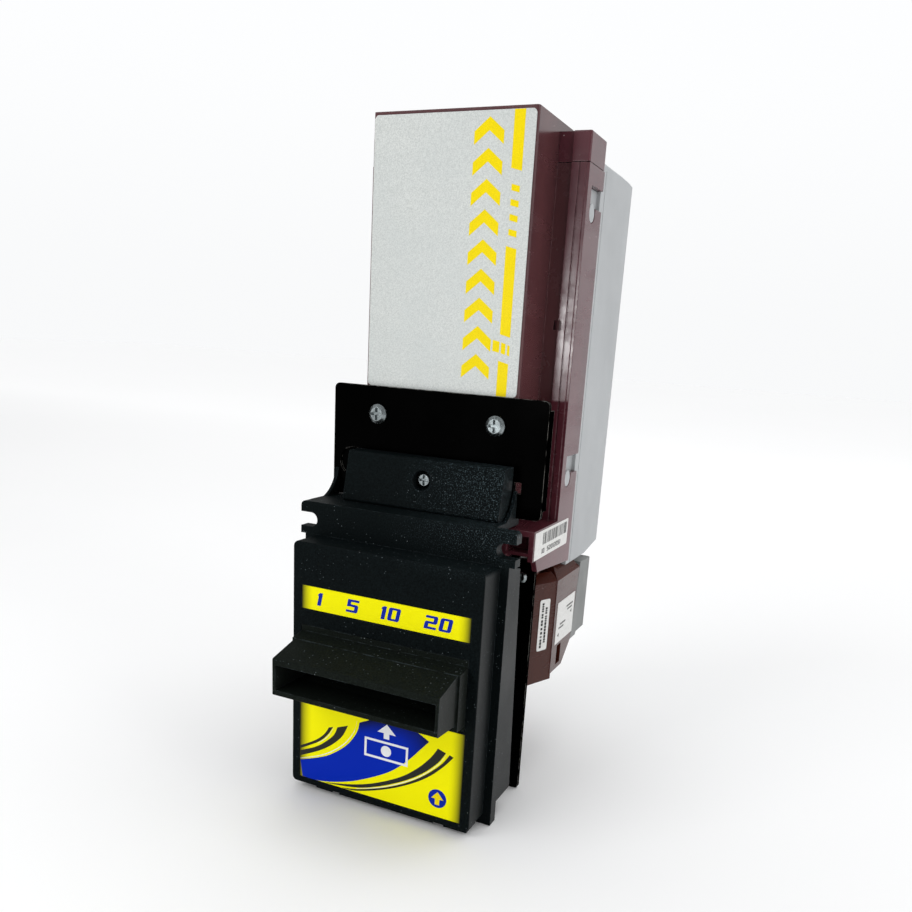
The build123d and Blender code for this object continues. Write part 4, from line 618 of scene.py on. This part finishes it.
def print_flat(name, loops, facing, level, material, body):
    """Thin raised print of closed outlines in millimetres, holes included, on a label at the level."""
    curve = bpy.data.curves.new(name, "CURVE")
    curve.dimensions = "2D"
    curve.fill_mode = "BOTH"
    curve.extrude = INK
    for loop in loops:
        spline = curve.splines.new("POLY")
        spline.points.add(len(loop) - 1)
        for point, (u, v) in zip(spline.points, loop):
            point.co = (u * MM, v * MM, 0.0, 1.0)
        spline.use_cyclic_u = True
    mesh = mesh_of(curve, material)
    mesh.transform(Matrix.Translation(level) @ facing)
    piece = put_in_scene(name, mesh)
    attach(piece, body)


def front_level(node):
    """Offset that puts print just proud of the node's front face."""
    return Vector((0.0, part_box(node)[0].y - PROUD + INK, 0.0))


def right_level(node):
    """Offset that puts print just proud of the node's right face."""
    return Vector((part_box(node)[1].x + PROUD - INK, 0.0, 0.0))


def bar(left, right, low, high, low_slope=0.0, high_slope=0.0):
    """Upright bar whose lower and upper ends drop by their slopes from left to right."""
    return [(left, low), (right, low - low_slope), (right, high - high_slope), (left, high)]


def circle(centre, radius, steps):
    turns = [2 * math.pi * i / steps for i in range(steps)]
    return [(centre[0] + radius * math.cos(turn), centre[1] + radius * math.sin(turn)) for turn in turns]


def up_arrow(middle, low, neck, tip, stem, head):
    """Arrow that points up, with half widths stem and head."""
    return [(middle - stem, low), (middle + stem, low), (middle + stem, neck), (middle + head, neck),
            (middle, tip), (middle - head, neck), (middle - stem, neck)]


def chevron(left, right, low, rise, thick):
    """Broad arrowhead that points up."""
    middle = (left + right) / 2
    return [(left, low), (middle, low + rise), (right, low), (right, low + thick),
            (middle, low + rise + thick), (left, low + thick)]


def moved(points, across, up):
    return [(u + across, v + up) for u, v in points]


GLYPHS = {
    "0": [[(0.10, 0), (0.86, 0), (0.96, 0.10), (0.96, 0.90), (0.86, 1), (0.10, 1), (0, 0.90), (0, 0.10)],
          [(0.31, 0.17), (0.31, 0.83), (0.65, 0.83), (0.65, 0.17)]],
    "1": [[(0.08, 0), (0.40, 0), (0.40, 1), (0.14, 1), (0, 0.86), (0, 0.76), (0.08, 0.76)]],
    "2": [[(0, 0), (0.96, 0), (0.96, 0.18), (0.31, 0.18), (0.31, 0.40), (0.86, 0.40), (0.96, 0.50),
           (0.96, 0.90), (0.86, 1), (0, 1), (0, 0.82), (0.65, 0.82), (0.65, 0.58), (0.10, 0.58),
           (0, 0.48)]],
    "5": [[(0, 0), (0.86, 0), (0.96, 0.10), (0.96, 0.52), (0.86, 0.62), (0.31, 0.62), (0.31, 0.82),
           (0.96, 0.82), (0.96, 1), (0, 1), (0, 0.44), (0.65, 0.44), (0.65, 0.18), (0, 0.18)]],
}


def digits(text, left, base, height, lean=0.2, gap=0.2):
    """Outlines of slanted digits, in millimetres; lean and gap are shares of their height."""
    loops = []
    for letter in text:
        for loop in GLYPHS[letter]:
            loops.append([(left + (u + lean * v) * height, base + v * height) for u, v in loop])
        wide = max(u for u, _ in GLYPHS[letter][0])
        left += (wide + gap) * height
    return loops


def catmull_rom(before, start, end, after, t):
    """Value at t, from 0 to 1, on the smooth stretch from start to end."""
    square = 2 * before - 5 * start + 4 * end - after
    cube = 3 * start - before - 3 * end + after
    return 0.5 * (2 * start + (end - before) * t + square * t * t + cube * t ** 3)


def smooth(points, steps=6):
    """Catmull-Rom curve through open points."""
    ends = [points[0], *points, points[-1]]
    curve = []
    for stretch in zip(ends, ends[1:], ends[2:], ends[3:]):
        for i in range(steps):
            curve.append(tuple(catmull_rom(*values, i / steps) for values in zip(*stretch)))
    return curve + [points[-1]]


def swoosh(upper, lower):
    """Stripe between two curves that run the same way."""
    return smooth(upper) + smooth(lower)[::-1]


LINE_END = 0.35


def line_along(points, thick):
    """Stripe under a curve, thick in its middle and LINE_END of that at its ends."""
    lower = []
    for i, (u, v) in enumerate(points):
        swell = math.sin(math.pi * i / (len(points) - 1))
        lower.append((u, v - thick * (LINE_END + (1.0 - LINE_END) * swell)))
    return swoosh(points, lower)


STRIPE_X = (26.9, 31.6)
STRIPES = ((148.5, 169.6, 1.2, 0.0), (84.8, 119.4, 1.2, 1.2), (59.5, 74.1, 0.0, 1.2))
DASHES = ((23.9, 27.0, 77.9, 82.4), (27.8, 29.8, 77.2, 81.6), (30.6, 31.7, 76.6, 80.8))
DASH_SLOPE = 0.6
RUNG_X = (27.6, 31.2)
RUNG_FIRST, RUNG_PITCH, RUNG_COUNT = 123.5, 5.6, 4
RUNG_TALL, RUNG_SLOPE = 2.4, 0.9
CHEVRON_X = (10.0, 23.0)
CHEVRON_FIRST, CHEVRON_PITCH, CHEVRON_COUNT = 66.0, 11.4, 9
CHEVRON_RISE, CHEVRON_THICK = 5.2, 5.0


def print_magazine(materials):
    """A broken stripe with dashes and rungs in its gaps, beside a column of chevrons."""
    level = front_level("magazine_label")
    bars = [bar(*STRIPE_X, *stripe) for stripe in STRIPES]
    bars += [bar(*dash, DASH_SLOPE, DASH_SLOPE) for dash in DASHES]
    for step in range(RUNG_COUNT):
        low = RUNG_FIRST + RUNG_PITCH * step
        bars.append(bar(*RUNG_X, low, low + RUNG_TALL, RUNG_SLOPE, RUNG_SLOPE))
    arrows = []
    for step in range(CHEVRON_COUNT):
        low = CHEVRON_FIRST + CHEVRON_PITCH * step
        arrows.append(chevron(*CHEVRON_X, low, CHEVRON_RISE, CHEVRON_THICK))
    for name, loops in (("magazine_print_bars", bars), ("magazine_print_arrows", arrows)):
        print_flat(name, loops, FRONT, level, materials["yellow"], "magazine")


DENOMINATIONS = (("1", -33.6), ("5", -18.4), ("10", -1.6), ("20", 19.4))
DENOMINATION_LOW, DENOMINATION_TALL = -34.1, 5.9


def print_strip(materials):
    """The denominations in a row."""
    level = front_level("denomination_label")
    loops = []
    for text, left in DENOMINATIONS:
        loops += digits(text, left, DENOMINATION_LOW, DENOMINATION_TALL)
    print_flat("denomination_digits", loops, FRONT, level, materials["blue"], "frame")


# The panel's print, cut off at the left and at the bottom. A stripe is its upper curve and its lower curve.
CUT_LEFT, CUT_LOW = -41.2, -119.1
PANEL_EDGE = [(-9.9, -84.4), (-11.2, -89.6), (-15.6, -96.3), (-21.6, -101.7), (-28.8, -106.2),
              (CUT_LEFT, -111.0)]
PANEL_UNDER = [(CUT_LEFT, CUT_LOW), (-29.6, -118.9), (-16.1, -115.4), (-5.1, -110.6), (6.4, -104.0),
               (14.8, -96.5), (21.0, -89.3), (24.9, -84.7)]
PANEL_TOP = [(24.9, -84.7), (15.0, -79.8), (8.0, -78.2), (0.0, -79.8), (-9.9, -84.4)]
RIGHT_BAND = ([(29.2, -86.7), (25.8, -92.1), (19.6, -98.9), (11.3, -105.4), (-1.1, -111.8),
               (-13.1, -115.9), (-27.0, -118.9)],
              [(33.1, -87.9), (29.6, -93.4), (22.5, -100.4), (13.3, -106.7), (0.9, -112.9),
               (-11.0, -116.9), (-27.0, CUT_LOW)])
RIGHT_THIN = ([(34.9, -88.3), (31.0, -93.9), (23.5, -101.0), (14.3, -107.4), (2.9, -113.0),
               (-10.0, -117.4), (-18.0, -118.9)],
              [(36.8, -89.0), (31.9, -95.0), (24.5, -102.0), (14.8, -108.3), (2.9, -114.0),
               (-10.0, -118.3), (-18.0, CUT_LOW)])
LEFT_BAND = ([(-21.3, -89.6), (-23.3, -94.0), (-27.8, -98.5), (-33.0, -102.3), (CUT_LEFT, -106.2)],
             [(-15.8, -87.4), (-18.7, -93.3), (-23.7, -98.6), (-30.9, -103.7), (CUT_LEFT, -108.8)])
LEFT_THIN = ([(-25.9, -90.8), (-28.4, -94.8), (-33.0, -98.9), (CUT_LEFT, -103.7)],
             [(-23.6, -90.0), (-26.9, -95.2), (-32.0, -99.8), (CUT_LEFT, -105.1)])
FIELD_RIM_END = (CUT_LEFT, -110.2)

NOTE_LEFT, NOTE_RIGHT, NOTE_LOW, NOTE_HIGH = -7.0, 15.0, -99.4, -90.2
NOTE_LINE = 1.1
NOTE_SPOT = 2.6
BADGE_PLACE = (30.2, -110.4)
BADGE_RADIUS = 4.4


def note_sign():
    """A banknote's outline with a round spot, under an arrow that points up."""
    middle = ((NOTE_LEFT + NOTE_RIGHT) / 2, (NOTE_LOW + NOTE_HIGH) / 2)
    inside = bar(NOTE_LEFT + NOTE_LINE, NOTE_RIGHT - NOTE_LINE, NOTE_LOW + NOTE_LINE, NOTE_HIGH - NOTE_LINE)
    return [bar(NOTE_LEFT, NOTE_RIGHT, NOTE_LOW, NOTE_HIGH),
            inside[::-1],
            circle(middle, NOTE_SPOT, 24),
            up_arrow(middle[0], low=-88.9, neck=-86.3, tip=-81.9, stem=1.4, head=4.6)]


def print_panel(materials):
    """Blue swoosh with charcoal stripes, a banknote sign and an arrow badge."""
    level = front_level("instruction_label")
    above = level + Vector((0.0, -PROUD, 0.0))
    field = smooth(PANEL_EDGE) + smooth(PANEL_UNDER)[1:] + smooth(PANEL_TOP)[1:-1]
    stripes = [swoosh(*pair) for pair in (RIGHT_BAND, RIGHT_THIN, LEFT_BAND, LEFT_THIN)]
    rims = [line_along(moved(PANEL_EDGE[:-1], -1.3, 0.5) + [FIELD_RIM_END], 0.5),
            line_along(moved(RIGHT_BAND[1][:-1], 0.4, -0.3), 0.4),
            line_along(moved(LEFT_THIN[1][:-1], 0.3, -0.3), 0.35)]
    badge = circle(BADGE_PLACE, BADGE_RADIUS, 32)
    pointer = up_arrow(BADGE_PLACE[0], low=-113.4, neck=-110.6, tip=-107.2, stem=1.1, head=3.0)
    for name, loops, height, ink in (
            ("panel_field", [field], level, "field"),
            ("panel_stripes", stripes, level, "charcoal"),
            ("panel_rims", rims, above, "white"),
            ("panel_note_sign", note_sign(), above, "white"),
            ("panel_badge", [badge], level, "blue"),
            ("panel_badge_arrow", [pointer], above, "yellow")):
        print_flat(name, loops, FRONT, height, materials[ink], "frame")


# The small print on the white labels: upright bars and plain lines, with lengths drawn from a fixed seed.
MARKS_SEED = 7
CODE_START, CODE_END = 33.6, 65.8
CODE_LOW, CODE_HIGH = -2.9, 2.4
CODE_BARS = (0.3, 0.45, 0.75)
CODE_GAPS = (0.35, 0.5, 0.8)
SERIAL_GROUPS = (("10", 33.0), ("52012051", 40.0))
SERIAL_LOW, SERIAL_TALL, SERIAL_GAP = -6.9, 2.2, 0.25

SIDE_LINES = ((78.5, -43.4, 9.0), (80.0, -45.2, 7.5), (70.0, -50.6, 8.5), (68.5, -52.4, 7.0))
SIDE_LINE_TALL = 0.9
SIDE_MARK = (0.5, 1.3)
SIDE_GAP = 0.35
SIDE_SIGNS = ((85.2, -48.2), (67.4, -56.4))
SIGN_SIZE = 2.0

FRONT_LINES = ((-1.9, -11.4, 11.2), (0.6, -9.0, 9.4))
FRONT_LINE_THICK = 1.3
FRONT_MARK = (0.7, 1.5)
FRONT_GAPS = (0.3, 0.3, 0.9)
FRONT_LABEL_THICK = 0.2

# The lower housing's neck widens by NECK_OUT over NECK_BACK of its depth; (u, v) is (along its side, z).
NECK_OUT, NECK_BACK = 9.5, 22.8
NECK_LEAN = math.atan2(NECK_OUT, NECK_BACK)
NECK_SIDE = Matrix(((math.sin(NECK_LEAN), 0, math.cos(NECK_LEAN), 0),
                    (math.cos(NECK_LEAN), 0, -math.sin(NECK_LEAN), 0),
                    (0, 1, 0, 0),
                    (0, 0, 0, 1)))


def print_serial(materials):
    """Bar code over a row of digits."""
    marks = []
    place = CODE_START
    while place < CODE_END:
        thick = random.choice(CODE_BARS)
        marks.append(bar(place, place + thick, CODE_LOW, CODE_HIGH))
        place += thick + random.choice(CODE_GAPS)
    for group, left in SERIAL_GROUPS:
        marks += digits(group, left, SERIAL_LOW, SERIAL_TALL, lean=0.0, gap=SERIAL_GAP)
    print_flat("serial_marks", marks, RIGHT, right_level("serial_label"), materials["black_ink"],
               "frame")


def print_side_label(materials):
    """Four lines of small print and two triangular signs."""
    marks = []
    for left, low, long in SIDE_LINES:
        start = left
        while start < left + long:
            wide = random.uniform(*SIDE_MARK)
            marks.append(bar(start, start + wide, low, low + SIDE_LINE_TALL))
            start += wide + SIDE_GAP
    for left, low in SIDE_SIGNS:
        right = left + SIGN_SIZE
        marks.append([(left, low + SIGN_SIZE / 2), (right, low), (right, low + SIGN_SIZE)])
    print_flat("side_label_marks", marks, RIGHT, right_level("side_label"), materials["black_ink"],
               "frame")


def print_front_label(materials):
    """Two upright lines of small print on the neck's slanted side."""
    lines = []
    for across, low, top in FRONT_LINES:
        while low < top:
            tall = random.uniform(*FRONT_MARK)
            lines.append(bar(across, across + FRONT_LINE_THICK, low, low + tall))
            low += tall + random.choice(FRONT_GAPS)
    low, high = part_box("front_label")
    outward = Vector((math.cos(NECK_LEAN), -math.sin(NECK_LEAN), 0.0))
    level = (low + high) / 2 + outward * (FRONT_LABEL_THICK / 2 * MM + PROUD - INK)
    print_flat("front_label_lines", lines, NECK_SIDE, level, materials["black_ink"], "frame")


# ---------------------------------------------------------------- spring

SPRING_WIRE = 0.0007
SPRING_TURNS = 6.0
SPRING_DEAD = 1.0
SPRING_STEPS = 28
SPRING_CLOSED = 2.2 * SPRING_WIRE


def spring_rise(turn, free):
    """Height of the wire after so many turns of a spring free metres long between its end turns' wires."""
    if turn < SPRING_DEAD:
        return SPRING_CLOSED * turn / SPRING_DEAD
    if turn > SPRING_TURNS - SPRING_DEAD:
        return free - SPRING_CLOSED * (SPRING_TURNS - turn) / SPRING_DEAD
    share = (turn - SPRING_DEAD) / (SPRING_TURNS - 2 * SPRING_DEAD)
    return SPRING_CLOSED + (free - 2 * SPRING_CLOSED) * share


def make_spring(material):
    """Spring with closed end turns, between the magazine's front wall and the pressure plate."""
    low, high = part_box("magazine_spring")
    middle = (low + high) / 2
    radius = (high.x - low.x) / 2 - SPRING_WIRE
    free = high.y - low.y - 2 * SPRING_WIRE
    curve = bpy.data.curves.new("spring_path", "CURVE")
    curve.dimensions = "3D"
    curve.bevel_depth = SPRING_WIRE
    curve.bevel_resolution = 3
    curve.use_fill_caps = True
    spline = curve.splines.new("NURBS")
    spline.points.add(int(SPRING_TURNS * SPRING_STEPS))
    for i, point in enumerate(spline.points):
        turn = i / SPRING_STEPS
        angle = 2 * math.pi * turn
        point.co = (middle.x + radius * math.cos(angle), low.y + SPRING_WIRE + spring_rise(turn, free),
                    middle.z + radius * math.sin(angle), 1.0)
    spline.order_u = 3
    spline.use_endpoint_u = True
    mesh = mesh_of(curve, material)
    mesh.shade_smooth()
    piece = put_in_scene("pressure_spring", mesh)
    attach(piece, "magazine")
    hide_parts("magazine_spring")
    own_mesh(piece)


# ---------------------------------------------------------------- scene

bpy.context.scene.view_settings.view_transform = "Standard"
make_camera()
make_world()
for soft_box in SOFT_BOXES:
    make_light(*soft_box)
make_floor(cad_bounds[0][2] - FLOOR_GAP)
FINISHES = make_materials()
finish_nodes(FINISHES)
print_magazine(FINISHES)
print_strip(FINISHES)
print_panel(FINISHES)
random.seed(MARKS_SEED)
print_serial(FINISHES)
print_side_label(FINISHES)
print_front_label(FINISHES)
make_spring(FINISHES["spring"])
